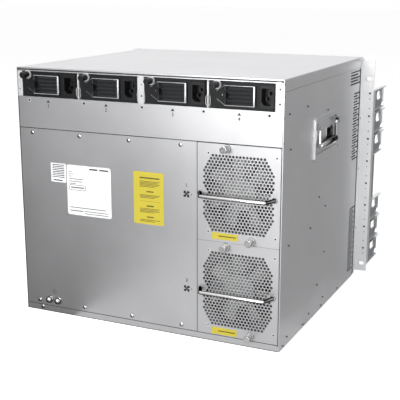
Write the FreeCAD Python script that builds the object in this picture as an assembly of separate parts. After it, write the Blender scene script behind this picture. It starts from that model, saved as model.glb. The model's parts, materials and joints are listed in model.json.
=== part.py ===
import FreeCAD, Part
import math
import os

# Modular chassis switch, nine rack units high, for a 19 inch rack.
# Millimetres. +Z is up, the cards and rack ears face -Y, the power supplies and fan trays face +Y.
# The origin is the centre of the underside. Left means the -X side, as seen from the front.

V = FreeCAD.Vector

# Chassis body
BODY_WIDTH = 442.0
BODY_HEIGHT = 397.0
BODY_DEPTH = 408.0            # rear face to the rear of the ear plates
SHEET = 1.5                   # chassis sheet
SEAM = 0.4                    # line left between neighbouring panels
UPPER_GAP = 1.3               # wider line below the upper rear panel
RUN = 0.3                     # running clearance of sliding pieces
BEND = 2.0                    # outside radius of a fold
LIP_OVERLAP = 13.0            # height of the lips that stand behind the edges of the rear panels
LIP_ROOT = 4.0                # how far a lip lies behind the panel that carries it
BASE_LIP = 10.5               # height of the base pan's rear edge
BASE_SIDE = 14.0              # height of the base pan's side flanges
COVER_SIDE = 17.0             # height of the top cover's side flanges
COVER_HEM = 2.2               # folded hem on the cover's rear edge
COVER_HEM_DEPTH = 6.0
COVER_SETBACK = 5.0           # from the ears' rear face to the cover's front edge
COVER_MITRE_GAP = 3.0         # between the cover's mitred corners and the ears
UPPER_PANEL_HEIGHT = 50.0

CAGE_EDGE = 25.0              # least height of the base pan's front edge below the lowest slot

# Power bay and power supplies
BAY_HEIGHT = 39.5
BAY_ROOF_DROP = 5.5           # from the top of the cover to the ceiling of the bay
BAY_END_FLANGE = 10.0         # beside the first supply
BAY_FAR_FLANGE = 12.9         # beside the last supply
POWER_COUNT = 4
POWER_LENGTH = 200.0
POWER_WALL = 1.2
CLIP_SPACE = 8.2              # between two supplies with a thin divider
POST_SPACE = 13.5             # between the middle supplies, with the centre post
POST_FLANGE = 10.0
CLIP_SHEET = 0.6
CLIP_LENGTH = 14.0
CLIP_LOW = 1.8                # levels of a clip's bends above the bay's floor
CLIP_BELLY_LOW = 5.2
CLIP_BELLY_HIGH = 15.2
CLIP_SHOULDER = 19.0
CLIP_TOP_GAP = 2.0
PLUG_DEPTH = 12.0             # connectors between a module and its board
POWER_PLUG_WIDTH = 60.0
POWER_PLUG_LOW = 12.0
POWER_PLUG_HEIGHT = 12.0
SLAT_COUNT = 5
SLAT_LEFT = 28.0
SLAT_RIGHT = 31.0             # from the supply's right edge
SLAT_OPEN = 3.4
SLAT_PITCH = 5.6
INLET_RIGHT = 1.5             # from the supply's right edge to the inlet's bezel
INLET_WIDTH = 20.0
INLET_HEIGHT = 31.0
INLET_PROUD = 1.2
INLET_CORNER = 1.5
SOCKET_WIDTH = 16.6
SOCKET_HEIGHT = 24.0
SOCKET_DEPTH = 15.0
SOCKET_WALL = 1.2
SOCKET_CHAMFER = 4.5
SOCKET_FLOOR = 1.5
PIN_LENGTH = 8.0
PIN_WIDTH = 2.0
PIN_HEIGHT = 4.4
PIN_SPREAD = 4.0              # from the socket's middle to each pin, up or across
POWER_KNOB_LEFT = 10.5
POWER_KNOB_RADIUS = 5.0
POWER_KNOB_LENGTH = 13.0
POWER_KNOB_COLLAR = 4.0
PULL_LEFT = 24.0              # hinge axis of the pull handle, from the supply's left edge
PULL_END = 28.0               # from the supply's right edge to the handle's grip
PULL_SHOULDER = 35.0
PULL_MARGIN = 5.0             # from the supply's edges to the handle
PULL_BAND = 2.8
PULL_BEND = 3.0
PULL_THICK = 2.6
PULL_STAND = 4.2              # from the supply's face to the handle's middle
PULL_PIN_RADIUS = 1.2
PULL_NECK = 7.0               # half the height of the handle at its hinge
PULL_BARREL_HALF = 4.5
PULL_BARREL_WALL = 1.4

# Fan trays
FAN_TRAY_COUNT = 2
FAN_TRAY_WIDTH = 128.2
FAN_TRAY_INSET = 2.8          # from the chassis side to the tray's face
TRAY_DEPTH = 90.0
TRAY_WALL = 1.2
TRAY_SIDE_INSET = 1.6
GRILLE_PITCH = 10.6           # twice the pitch of the finished perforation, to keep the faces few
GRILLE_HOLE = 8.4             # across the corners
GRILLE_TURN_DEG = 30.0
GRILLE_TOP_COUNT = 8
GRILLE_SHOULDER_COUNT = 3           # rows over which the grille widens, at its top and bottom
GRILLE_EDGE = 15.0            # least distance from the middle of a hole to the tray's upper or lower edge
FAN_DEPTH = 38.0
FAN_DUCT_MARGIN = 5.0         # least wall of the fan's housing around its duct
FAN_TIP_GAP = 1.5
FAN_HUB_RADIUS = 24.0
FAN_HUB_DEPTH = 26.0
FAN_BLADE_COUNT = 7
FAN_BLADE_SHEET = 2.0
FAN_BLADE_ROOT_CHORD = 26.0
FAN_BLADE_TIP_CHORD = 34.0
FAN_BLADE_BOW = 2.8           # height of a blade's camber
FAN_ROOT_ANGLE_DEG = 52.0
FAN_TIP_ANGLE_DEG = 30.0
FAN_SECTION_COUNT = 3
FAN_BLADE_ROOT = 4.0          # how deep a blade's root lies in the hub
FAN_CORNER = 4.0
FAN_DUCT_SIDE_COUNT = 24
FAN_STRUT_COUNT = 4
FAN_STRUT_WIDTH = 7.0
FAN_BASE = 6.0
FAN_SHAFT_RADIUS = 3.0
SHAFT_FIT = 0.05              # radial clearance of pins and shafts
FAN_HANDLE_INNER = 4.7        # from the tray's inner edge to the handle's foot
FAN_HANDLE_OUTER = 8.3        # from the tray's outer edge to the other foot
FAN_HANDLE_STAND = 28.0
FAN_HANDLE_RADIUS = 3.0
FAN_HANDLE_BEND = 9.0
FAN_HANDLE_COLLAR = 4.4
FAN_HANDLE_COLLAR_HEIGHT = 1.5
FAN_HANDLE_DROP = 2.0
KNOB_RADIUS = 5.5
KNOB_LENGTH = 9.0
KNOB_STEP = 1.5               # how far a knob's cap stands out over its collar
KNOB_COLLAR = 7.0
KNOB_EDGE = 6.2               # from the tray's edge to a thumbscrew
KNOB_UPPER_LEFT = 46.2        # from the tray's inner edge
KNOB_LOWER_LEFT = 85.5
THREAD_RADIUS = 2.0
THREAD_LENGTH = 6.0
THREAD_SHOULDER = 1.0         # how much thicker the shank is than the tip

# Card cage
SLOT_PITCH = 40.64
CONTROL_CARD_COUNT = 2
CARD_SIDE_GAP = 0.6
RAIL_WIDTH = 7.5
RAIL_HEIGHT = 8.0
RAIL_RISE = 3.0
CARD_SHEET_RISE = 6.2
CARD_PLUG_NEAR = 20.0         # from the middle of the card to its rear connectors
CARD_PLUG_FAR = 140.0
CARD_PLUG_WIDTH = 80.0
CARD_PLUG_HEIGHT = 10.0
FRONT_VENT_COUNT = 24
FRONT_VENT_WIDTH = 6.0
FRONT_VENT_END = 16.0         # from the panel's end to the middle of the first vent
FRONT_VENT_EDGE = 9.0         # from the panel's edges to the vents
FILLER_FLANGE = 12.0
PORT_WIDTH = 14.0
PORT_HEIGHT = 12.0
PORT_DEPTH = 15.0
PORT_FROM_MIDDLE = 150.0
LEVER_LENGTH = 34.0
LEVER_THICK = 4.0
LEVER_HEIGHT = 14.0
LEVER_STAND = 5.0
LEVER_PIN_RADIUS = 1.5
LEVER_INSET = 9.0
LEVER_NOSE = 4.0
LUG = 3.0
BOARD = 2.4
FAN_WINDOW_RADIUS = 52.0
FAN_WINDOW_SIDE_COUNT = 16
FAN_WALL_FLANGE = 14.0
BACKPLANE_TO_REAR = 102.0

# Rack ears and cable guides
EAR_REACH = 20.3              # from the chassis side to the ear's end
RACK_HOLE_INSET = 8.75        # from the ear's end to the middle of its slots
RACK_UNIT = 44.45
RACK_HOLE_EDGE = 6.35         # rack hole to the edge of its rack unit
RACK_HOLE_DROP = 31.75
EAR_SHEET = 2.0
EAR_LEG = 17.0
EAR_GROOVE = 3.0
EAR_BOTTOM = 5.0
RACK_SLOT_LENGTH = 9.5
RACK_SLOT_WIDTH = 6.5
GUIDE_HOLE_RADIUS = 2.0
GUIDE_HOLE_SIDE_COUNT = 12
GUIDE_PIN_RADIUS = 1.2
GUIDE_HOLE_RISE = 21.9        # above the slot's lower edge
GUIDE_PIN_ABOVE = 13.7
GUIDE_PIN_BELOW = 10.2
GUIDE_HOLE_INSET = 6.8        # from the ear's end
RING_COUNT = 3                # rings in each of the two groups of a guide
RING_RISE = 12.0              # middle of a ring above its slot's lower edge
RING_LENGTH = 27.5
RING_HEIGHT = 15.7
RING_ABOVE = 14.5
RING_BELOW = 22.0
RING_STEP = 6.3               # how far the ring plates lie inside the guide's outer face
RING_FROM_FRONT = 28.0        # from the guide's front edge to the middle of a ring
RING_NOTCH = 11.0
RING_SHOULDER = 7.0           # height of the cut-off lower corner
GUIDE_REACH = 89.0            # from the ear to the guide's front edge
GUIDE_SPINE = 13.0
GUIDE_STRIP = 51.0            # from the ear to the front edge of the plate between the two groups
GUIDE_FOOT = 18.0
FOOT_CLEARANCE = 1.0          # between the guide's foot and the lowest rack slot

# Side vents: long and short slots take turns, and the long ones start at the panel's front edge
VENT_OPEN = 2.5
UPPER_VENT_COUNT = 6
UPPER_VENT_PITCH = 5.04
UPPER_VENT_TOP = 16.7         # middle of the first row below the top of the body
UPPER_VENT_SHORT = 34.5       # front and rear ends of the slots, from the ears' rear face
UPPER_VENT_REAR = 78.0
TALL_VENT_COUNT = 25
TALL_VENT_PITCH = 4.8
TALL_VENT_TOP = 59.5          # middle of the upper block's first row, below the top of the body
TALL_VENT_BOTTOM = 16.8       # middle of the lower block's last row, above the underside
TALL_VENT_SHORT = 32.0
TALL_VENT_REAR = 56.5
TALL_VENT_STAGGER = 4.0       # the long slots of the tall blocks end this much nearer the front

# Drop handles on the sides
HANDLE_MIDDLE = 11.0          # along the depth
HANDLE_BELOW_TOP = 72.0
PLATE_LENGTH = 112.0
PLATE_HEIGHT = 66.0
PLATE_SHEET = 2.5
DISH_LENGTH = 103.0
DISH_TOP = 7.0
DISH_HEIGHT = 50.0
PLATE_CORNER = 3.0
WINDOW_LENGTH = 38.0
WINDOW_HEIGHT = 32.0
WINDOW_SHIFT = 24.0
WINDOW_DROP = 6.0             # below the dish's middle
DROP_AXIS_BELOW = 14.0        # hinge axis below the plate's top
DROP_AXIS_STAND = 5.2
DROP_ROD_RADIUS = 2.8
DROP_GRIP_RADIUS = 4.6
DROP_LENGTH = 30.0
DROP_PIVOT_SPAN = 75.0
DROP_GRIP_SPAN = 92.0
DROP_BEND = 4.0
DROP_EAR = 8.0
DROP_BARREL_WALL = 2.0

# Screws
SCREW_HEAD_RADIUS = 3.4
SCREW_HEAD = 1.6
SCREW_RADIUS = 1.6
COVER_SCREW_COUNT = 4
COVER_SCREW_FIRST = 24.6      # from the chassis side to the first screw
COVER_SCREW_LAST = 26.0       # from the plate's edge beside the fan trays to the last screw
COVER_SCREW_EDGE = 6.3
UPPER_SCREW_COUNT = 5
UPPER_SCREW_END = 21.4        # from the chassis side to the first and last screws
UPPER_SCREW_DROP = 5.5
GROUND_FIRST = 44.3
GROUND_PITCH = 16.2
GROUND_RISE = 20.7
GROUND_WASHER_RADIUS = 5.2
GROUND_WASHER = 1.2
GROUND_NUT = 3.2
GROUND_STUD = 7.0             # length outside the panel
GROUND_NUT_RADIUS = 4.0

# Levels and planes that follow from the sizes above
HALF = BODY_WIDTH / 2
INNER = HALF - SHEET
REAR = BODY_DEPTH / 2
FRONT = -REAR
PANEL_TOP = BODY_HEIGHT - COVER_SIDE - SEAM
PANEL_FRONT = FRONT + EAR_LEG + EAR_GROOVE
TONGUE = HALF - EAR_SHEET - SHEET
MITRE = FRONT + COVER_SETBACK + BODY_HEIGHT      # y + z along the cover's mitred corners
CEILING = BODY_HEIGHT - BAY_ROOF_DROP
BAY_FLOOR = CEILING - BAY_HEIGHT
UPPER_BOTTOM = BAY_FLOOR - UPPER_PANEL_HEIGHT
SLOT_COUNT = int((BAY_FLOOR - CAGE_EDGE) / SLOT_PITCH)
FIRST_CONTROL_SLOT = SLOT_COUNT // 2 - 1         # counted from 0 at the bottom
CAGE_BOTTOM = BAY_FLOOR - SLOT_COUNT * SLOT_PITCH
LIP_REAR = REAR - SHEET
BAY_BACK = REAR - POWER_LENGTH - PLUG_DEPTH
POWER_HEIGHT = BAY_HEIGHT - 2 * RUN
POWER_SPACES = 2 * CLIP_SPACE + POST_SPACE + 4 * RUN
POWER_WIDTH = (BODY_WIDTH - BAY_END_FLANGE - BAY_FAR_FLANGE - POWER_SPACES) / POWER_COUNT
INLET_LEFT = POWER_WIDTH - INLET_RIGHT - INLET_WIDTH
PULL_RIGHT = POWER_WIDTH - PULL_END
SLAT_LENGTH = POWER_WIDTH - SLAT_LEFT - SLAT_RIGHT
TRAY_OUTER = -HALF + FAN_TRAY_INSET
TRAY_INNER = TRAY_OUTER + FAN_TRAY_WIDTH
TRAY_MIDDLE = (TRAY_OUTER + TRAY_INNER) / 2
FAN_WALL = TRAY_INNER - SEAM
COVER_EDGE = FAN_WALL + SHEET
TRAY_HEIGHT = (UPPER_BOTTOM - BASE_LIP - (FAN_TRAY_COUNT + 1) * SEAM) / FAN_TRAY_COUNT
TRAY_INSIDE_WIDTH = FAN_TRAY_WIDTH - 2 * (TRAY_SIDE_INSET + TRAY_WALL + RUN)
TRAY_INSIDE_HEIGHT = TRAY_HEIGHT - 2 * (LIP_OVERLAP + RUN)
FAN_SIZE = min(TRAY_INSIDE_WIDTH, TRAY_INSIDE_HEIGHT)
DUCT_RADIUS = FAN_SIZE / 2 - FAN_DUCT_MARGIN
BACKPLANE_REAR = REAR - BACKPLANE_TO_REAR
BACKPLANE_FRONT = BACKPLANE_REAR - BOARD
CARD_BACK = BACKPLANE_FRONT - PLUG_DEPTH
CARD_HALF = TONGUE - CARD_SIDE_GAP
RACK_HALF = HALF + EAR_REACH
EAR_FRONT = FRONT - EAR_SHEET
GUIDE_FRONT = EAR_FRONT - GUIDE_REACH
DROP_AXIS_X = HALF + DROP_AXIS_STAND
HANDLE_TOP = BODY_HEIGHT - HANDLE_BELOW_TOP
DROP_AXIS_Z = HANDLE_TOP - DROP_AXIS_BELOW
PULL_AXIS_Y = REAR + PULL_STAND


def box(x0, x1, y0, y1, z0, z1):
    """Solid block between two corners, given in either order."""
    corner = V(min(x0, x1), min(y0, y1), min(z0, z1))
    return Part.makeBox(abs(x1 - x0), abs(y1 - y0), abs(z1 - z0), corner)


def rod(radius, start, end):
    """Round bar from one point to another."""
    span = end - start
    return Part.makeCylinder(radius, span.Length, start, span)


def point(axis, height, a, b):
    """Point at a height along the axis, with a and b along the other two axes in X, Y, Z order."""
    if axis == "X":
        return V(height, a, b)
    if axis == "Y":
        return V(a, height, b)
    return V(a, b, height)


def outline(axis, height, corners):
    """Closed wire through corners (a, b) or (a, b, radius)."""
    ends = []
    count = len(corners)
    for i, corner in enumerate(corners):
        here = point(axis, height, corner[0], corner[1])
        radius = corner[2] if len(corner) > 2 else 0.0
        if radius <= 0.0:
            ends.append((here, None, here))
            continue
        before = corners[i - 1]
        after = corners[(i + 1) % count]
        u = (point(axis, height, before[0], before[1]) - here).normalize()
        v = (point(axis, height, after[0], after[1]) - here).normalize()
        half_angle = u.getAngle(v) / 2
        reach = radius / math.tan(half_angle)
        middle = (u + v).normalize()
        depth = radius / math.sin(half_angle) - radius
        ends.append((here + u * reach, here + middle * depth, here + v * reach))
    edges = []
    for i, (start, middle, end) in enumerate(ends):
        if middle is not None:
            edges.append(Part.Arc(start, middle, end).toShape())
        following = ends[(i + 1) % count][0]
        if (following - end).Length > 1e-6:
            edges.append(Part.LineSegment(end, following).toShape())
    return Part.Wire(edges)


def rectangle(axis, height, a0, a1, b0, b1, radius=0.0):
    """Closed rectangle, with rounded corners if a radius is given."""
    return outline(axis, height, [(a0, b0, radius), (a1, b0, radius), (a1, b1, radius), (a0, b1, radius)])


def circle(axis, height, a, b, radius):
    """Closed circle."""
    normal = point(axis, 1.0, 0.0, 0.0)
    return Part.Wire([Part.makeCircle(radius, point(axis, height, a, b), normal)])


def polygon(axis, height, a, b, radius, sides, turn=0.0):
    """Closed regular polygon."""
    corners = []
    for i in range(sides):
        angle = math.radians(turn + 360.0 * i / sides)
        corners.append((a + radius * math.cos(angle), b + radius * math.sin(angle)))
    return outline(axis, height, corners)


def centred(axis, height, a, b, length, width, radius=0.0):
    """Closed rectangle about a centre, its length along the first of the two axes."""
    return rectangle(axis, height, a - length / 2, a + length / 2, b - width / 2, b + width / 2, radius)


def slotted(axis, height, a, b, length, width):
    """Closed slot with round ends about a centre, its length along the first of the two axes."""
    return centred(axis, height, a, b, length, width, width / 2 - 0.01)


def plate(axis, thickness, wires):
    """Flat plate: the first wire is its outline and the others are holes."""
    face = Part.makeFace(wires, "Part::FaceMakerBullseye")
    return face.extrude(point(axis, thickness, 0.0, 0.0))


def join(shapes):
    """One solid from overlapping or touching shapes."""
    whole = shapes[0].multiFuse(shapes[1:])
    return whole.removeSplitter()


def group(solids):
    """Separate solids kept together in one node."""
    return Part.makeCompound(solids)


def mirrored(shape, side):
    """The shape as drawn for the right side, or its mirror image for the left side."""
    if side > 0:
        return shape
    return shape.mirror(V(0, 0, 0), V(1, 0, 0))


def bent_rod(radius, bend, points):
    """Round rod along straight runs joined by arcs of the same bend radius."""
    pieces = []
    start = points[0]
    for before, here, after in zip(points, points[1:], points[2:]):
        u = (before - here).normalize()
        v = (after - here).normalize()
        half_angle = u.getAngle(v) / 2
        first = here + u * (bend / math.tan(half_angle))
        centre = here + (u + v).normalize() * (bend / math.sin(half_angle))
        section = Part.Face(Part.Wire([Part.makeCircle(radius, first, u)]))
        pieces.append(rod(radius, start, first))
        pieces.append(section.revolve(centre, v.cross(u), 180.0 - 2 * math.degrees(half_angle)))
        start = here + v * (bend / math.tan(half_angle))
    pieces.append(rod(radius, start, points[-1]))
    return join(pieces)


def slot_floor(slot):
    """Lower edge of a card slot, counted from 0 at the bottom."""
    return CAGE_BOTTOM + slot * SLOT_PITCH


def tray_floor(tray):
    """Lower edge of a fan tray's face, counted from 0 at the bottom."""
    return BASE_LIP + SEAM + tray * (TRAY_HEIGHT + SEAM)


def supply_left(number):
    """X of a supply's left edge as seen from the rear, counted from 0 at the viewer's left."""
    spaces = (0.0, CLIP_SPACE, CLIP_SPACE + POST_SPACE, 2 * CLIP_SPACE + POST_SPACE)
    return HALF - BAY_END_FLANGE - 2 * RUN - number * POWER_WIDTH - spaces[number]


def divider_middle(number):
    """X of the divider to the right of a supply, as seen from the rear."""
    return (supply_left(number) - POWER_WIDTH + supply_left(number + 1)) / 2


def thumbscrew_places():
    """X and Z of both thumbscrews of every fan tray."""
    places = []
    for tray in range(FAN_TRAY_COUNT):
        low = tray_floor(tray)
        places.append((TRAY_INNER - KNOB_UPPER_LEFT, low + TRAY_HEIGHT - KNOB_EDGE))
        places.append((TRAY_INNER - KNOB_LOWER_LEFT, low + KNOB_EDGE))
    return places


def cover_screw_places():
    """X and Z of the screws of the rear cover plate."""
    places = []
    first = HALF - COVER_SCREW_FIRST
    last = COVER_EDGE + COVER_SCREW_LAST
    for i in range(COVER_SCREW_COUNT):
        x = first + (last - first) * i / (COVER_SCREW_COUNT - 1)
        places.append((x, BASE_LIP + SEAM + COVER_SCREW_EDGE))
        places.append((x, UPPER_BOTTOM - COVER_SCREW_EDGE))
    return places


def upper_screw_places():
    """X and Z of the screws of the upper rear panel."""
    reach = HALF - UPPER_SCREW_END
    places = []
    for i in range(UPPER_SCREW_COUNT):
        places.append((reach * (2 * i / (UPPER_SCREW_COUNT - 1) - 1), BAY_FLOOR - UPPER_SCREW_DROP))
    return places


def ground_places():
    """X and Z of the two ground screws."""
    return [(HALF - GROUND_FIRST - i * GROUND_PITCH, GROUND_RISE) for i in range(2)]


def thread_holes(depth, low, high):
    """Clearance holes for the thumbscrew tips that meet a lip between two levels."""
    radius = THREAD_RADIUS + SHAFT_FIT
    return [circle("Y", depth, x, z, radius) for x, z in thumbscrew_places() if low < z < high]


def base_pan():
    """Folded floor with front and rear edges, side flanges and a lip behind the rear panels."""
    front_height = CAGE_BOTTOM - SEAM
    inside = BEND - SHEET
    profile = outline("X", -INNER, [
        (FRONT, 0.0, BEND), (REAR, 0.0, BEND), (REAR, BASE_LIP), (REAR - SHEET, BASE_LIP),
        (REAR - SHEET, SHEET, inside), (FRONT + SHEET, SHEET, inside),
        (FRONT + SHEET, front_height), (FRONT, front_height)])
    pieces = [plate("X", 2 * INNER, [profile])]
    lip_half = INNER - SHEET
    lip_low = BASE_LIP - LIP_ROOT
    lip_high = BASE_LIP + LIP_OVERLAP
    lip = rectangle("Y", LIP_REAR - SHEET, -lip_half, lip_half, lip_low, lip_high)
    pieces.append(plate("Y", SHEET, [lip] + thread_holes(LIP_REAR - SHEET, lip_low, lip_high)))
    notches = []
    for side in (-1, 1):
        back = LIP_REAR - SHEET - BEND
        pieces.append(box(side * (INNER - SHEET), side * INNER, PANEL_FRONT + BEND, back,
                          SHEET / 2, BASE_SIDE))
        tongue = side * (TONGUE - SEAM)
        notches.append(box(tongue, side * HALF, FRONT - 1.0, PANEL_FRONT + SHEET, -1.0, CAGE_BOTTOM))
    return join(pieces).cut(notches)


def vent_rows(top, rows, pitch, short_front, rear, stagger, long_first):
    """Slots of one vent block as (y0, y1, z), long and short in turn."""
    slots = []
    for row in range(rows):
        z = BODY_HEIGHT - top - row * pitch
        if (row % 2 == 0) == long_first:
            slots.append((PANEL_FRONT + SHEET, FRONT + rear - stagger, z))
        else:
            slots.append((FRONT + short_front, FRONT + rear, z))
    return slots


def window_centre():
    """Y and Z of the middle of the finger window behind a drop handle."""
    dish_middle = HANDLE_TOP - DISH_TOP - DISH_HEIGHT / 2
    return HANDLE_MIDDLE - WINDOW_SHIFT, dish_middle - WINDOW_DROP


def side_panel(side):
    """Side sheet with vent slots, finger window, joggled front tongue and power bay flange."""
    slots = vent_rows(UPPER_VENT_TOP + UPPER_VENT_PITCH, UPPER_VENT_COUNT - 1, UPPER_VENT_PITCH,
                      UPPER_VENT_SHORT, UPPER_VENT_REAR, 0.0, True)
    lower_top = BODY_HEIGHT - TALL_VENT_BOTTOM - (TALL_VENT_COUNT - 1) * TALL_VENT_PITCH
    for top in (TALL_VENT_TOP, lower_top):
        slots += vent_rows(top, TALL_VENT_COUNT, TALL_VENT_PITCH,
                           TALL_VENT_SHORT, TALL_VENT_REAR, TALL_VENT_STAGGER, True)
    wires = [rectangle("X", INNER, PANEL_FRONT, REAR, 0.0, PANEL_TOP)]
    for y0, y1, z in slots:
        wires.append(rectangle("X", INNER, y0, y1, z - VENT_OPEN / 2, z + VENT_OPEN / 2))
    y, z = window_centre()
    wires.append(rectangle("X", INNER, y - WINDOW_LENGTH / 2, y + WINDOW_LENGTH / 2,
                           z - WINDOW_HEIGHT / 2, z + WINDOW_HEIGHT / 2, 2.0))
    sheet = plate("X", SHEET, wires)
    step = box(TONGUE, HALF, PANEL_FRONT, PANEL_FRONT + SHEET, 0.0, PANEL_TOP)
    tongue = box(TONGUE, TONGUE + SHEET, FRONT, PANEL_FRONT + SHEET, 0.0, CEILING)
    strip = box(INNER - SHEET, INNER, PANEL_FRONT, REAR, PANEL_TOP - LIP_ROOT, CEILING)
    inner_edge = HALF - BAY_END_FLANGE
    if side < 0:
        inner_edge = HALF - BAY_FAR_FLANGE
    flange = box(inner_edge, INNER, REAR - SHEET, REAR, BAY_FLOOR, CEILING)
    return mirrored(join([sheet, step, tongue, strip, flange]), side)


def top_cover():
    """Cover with folded sides, a hem along the rear and mitred front corners."""
    low = PANEL_TOP + SEAM
    inside = BEND - SHEET
    top = BODY_HEIGHT
    profile = outline("Y", FRONT, [
        (-HALF, low), (-HALF, top, BEND), (HALF, top, BEND), (HALF, low), (INNER, low),
        (INNER, top - SHEET, inside), (-INNER, top - SHEET, inside), (-INNER, low)])
    cover = plate("Y", BODY_DEPTH, [profile])
    hem = box(-INNER + BEND, INNER - BEND, REAR - COVER_HEM_DEPTH, REAR, top - COVER_HEM, top - SHEET)
    past = 1.0
    mitre = outline("X", -HALF - past, [
        (FRONT - past, low - past), (MITRE - low + past, low - past),
        (MITRE - top - past, top + past), (FRONT - past, top + past)])
    return join([cover, hem]).cut(plate("X", BODY_WIDTH + 2 * past, [mitre]))


def front_top_panel():
    """Vented panel above the card slots, with a folded top edge."""
    half = TONGUE - SEAM
    low = BAY_FLOOR + SEAM
    wires = [rectangle("Y", FRONT, -half, half, low, BODY_HEIGHT)]
    pitch = 2 * (half - FRONT_VENT_END) / (FRONT_VENT_COUNT - 1)
    middle = (low + BODY_HEIGHT) / 2
    height = BODY_HEIGHT - low - 2 * FRONT_VENT_EDGE
    for i in range(FRONT_VENT_COUNT):
        x = FRONT_VENT_END - half + i * pitch
        wires.append(centred("Y", FRONT, x, middle, FRONT_VENT_WIDTH, height))
    edge = box(-half, half, FRONT, FRONT + COVER_SETBACK - SEAM, BODY_HEIGHT - SHEET, BODY_HEIGHT)
    return join([plate("Y", SHEET, wires), edge])


def rear_upper_panel():
    """Panel under the power bay, with a stepped lip behind the panels below it."""
    half = INNER - SEAM
    panel = rectangle("Y", LIP_REAR, -half, half, UPPER_BOTTOM + UPPER_GAP, BAY_FLOOR)
    lip_low = UPPER_BOTTOM - LIP_OVERLAP
    lip_half = INNER - SHEET
    lip = rectangle("Y", LIP_REAR - SHEET, -lip_half, lip_half, lip_low, UPPER_BOTTOM + LIP_ROOT)
    holes = thread_holes(LIP_REAR - SHEET, lip_low, UPPER_BOTTOM)
    return join([plate("Y", SHEET, [panel]), plate("Y", SHEET, [lip] + holes)])


def rear_cover_plate():
    """Large plate over the backplane, held by eight screws."""
    panel = rectangle("Y", LIP_REAR, COVER_EDGE, INNER - SEAM, BASE_LIP + SEAM, UPPER_BOTTOM, 1.0)
    return plate("Y", SHEET, [panel])


def power_bay_floor():
    """Shelf that the power supplies slide on."""
    return box(-INNER, INNER, BAY_BACK - BOARD, LIP_REAR, BAY_FLOOR - SHEET, BAY_FLOOR)


def power_bay_roof():
    """Sheet over the power supplies."""
    half = INNER - SHEET
    return box(-half, half, BAY_BACK - BOARD, REAR, CEILING, CEILING + SHEET)


def power_bay_dividers():
    """Two thin dividers and a centre post with a rear flange."""
    dividers = []
    for number in range(POWER_COUNT - 1):
        x = divider_middle(number)
        web = box(x - SHEET / 2, x + SHEET / 2, BAY_BACK, REAR, BAY_FLOOR, CEILING)
        if number == POWER_COUNT // 2 - 1:
            flange = box(x - POST_FLANGE / 2, x + POST_FLANGE / 2, REAR - SHEET, REAR, BAY_FLOOR, CEILING)
            web = join([web, flange])
        dividers.append(web)
    return group(dividers)


def clip(x, side, root, bulge):
    """Bowed leaf spring beside a divider, seen from the rear as a thin line with a bulge."""
    high = CEILING - CLIP_TOP_GAP
    low = BAY_FLOOR + CLIP_LOW
    shoulder = BAY_FLOOR + CLIP_SHOULDER
    belly_high = BAY_FLOOR + CLIP_BELLY_HIGH
    belly_low = BAY_FLOOR + CLIP_BELLY_LOW
    front = root + CLIP_SHEET
    inside = bulge - CLIP_SHEET
    leaf = [(root, high), (front, high), (front, shoulder), (bulge, belly_high), (bulge, belly_low),
            (front, low), (root, low), (inside, belly_low), (inside, belly_high), (root, shoulder)]
    corners = [(x + side * a, b) for a, b in leaf]
    return plate("Y", CLIP_LENGTH, [outline("Y", REAR - CLIP_LENGTH, corners)])


def power_bay_clips():
    """Leaf springs on both sides of each divider."""
    clips = []
    for number in range(POWER_COUNT - 1):
        x = divider_middle(number)
        middle = number == POWER_COUNT // 2 - 1
        root = POST_FLANGE / 2 if middle else SHEET / 2
        space = POST_SPACE if middle else CLIP_SPACE
        for side in (-1, 1):
            clips.append(clip(x, side, root, space / 2 - RUN))
    return group(clips)


def power_backplane():
    """Board behind the power supplies, with a connector for each."""
    board = box(-INNER + 2 * SHEET, INNER - 2 * SHEET, BAY_BACK - BOARD, BAY_BACK, BAY_FLOOR, CEILING)
    pieces = [board]
    for number in range(POWER_COUNT):
        middle = supply_left(number) - POWER_WIDTH / 2
        low = BAY_FLOOR + POWER_PLUG_LOW
        pieces.append(box(middle - POWER_PLUG_WIDTH / 2, middle + POWER_PLUG_WIDTH / 2,
                          BAY_BACK - 1.0, BAY_BACK + PLUG_DEPTH, low, low + POWER_PLUG_HEIGHT))
    return join(pieces)


def backplane():
    """Board across the cage, with card connectors in front and air windows to the fans."""
    low = SHEET
    high = BAY_FLOOR - SHEET
    half = INNER - SHEET - RUN
    wires = [rectangle("Y", BACKPLANE_FRONT, -half, half, low, high)]
    for tray in range(FAN_TRAY_COUNT):
        z = tray_floor(tray) + TRAY_HEIGHT / 2
        wires.append(polygon("Y", BACKPLANE_FRONT, TRAY_MIDDLE, z, FAN_WINDOW_RADIUS, FAN_WINDOW_SIDE_COUNT))
    pieces = [plate("Y", BOARD, wires)]
    for slot in range(SLOT_COUNT):
        z = slot_floor(slot) + CARD_SHEET_RISE
        for x in (CARD_PLUG_NEAR, CARD_PLUG_FAR):
            end = x + CARD_PLUG_WIDTH / 2
            top = z + CARD_PLUG_HEIGHT
            pieces.append(box(end - CARD_PLUG_WIDTH, end, CARD_BACK, BACKPLANE_FRONT + 1.0, z, top))
    return join(pieces)


def fan_bay_wall():
    """Wall beside the fan trays, with a flange behind the rear cover plate."""
    wall = box(FAN_WALL, COVER_EDGE, BACKPLANE_REAR, LIP_REAR - SHEET, SHEET, BAY_FLOOR - SHEET)
    low = BASE_LIP + LIP_OVERLAP + 1.0
    high = UPPER_BOTTOM - LIP_OVERLAP - 1.0
    flange = box(FAN_WALL, COVER_EDGE + FAN_WALL_FLANGE, LIP_REAR - SHEET, LIP_REAR, low, high)
    return join([wall, flange])


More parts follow.
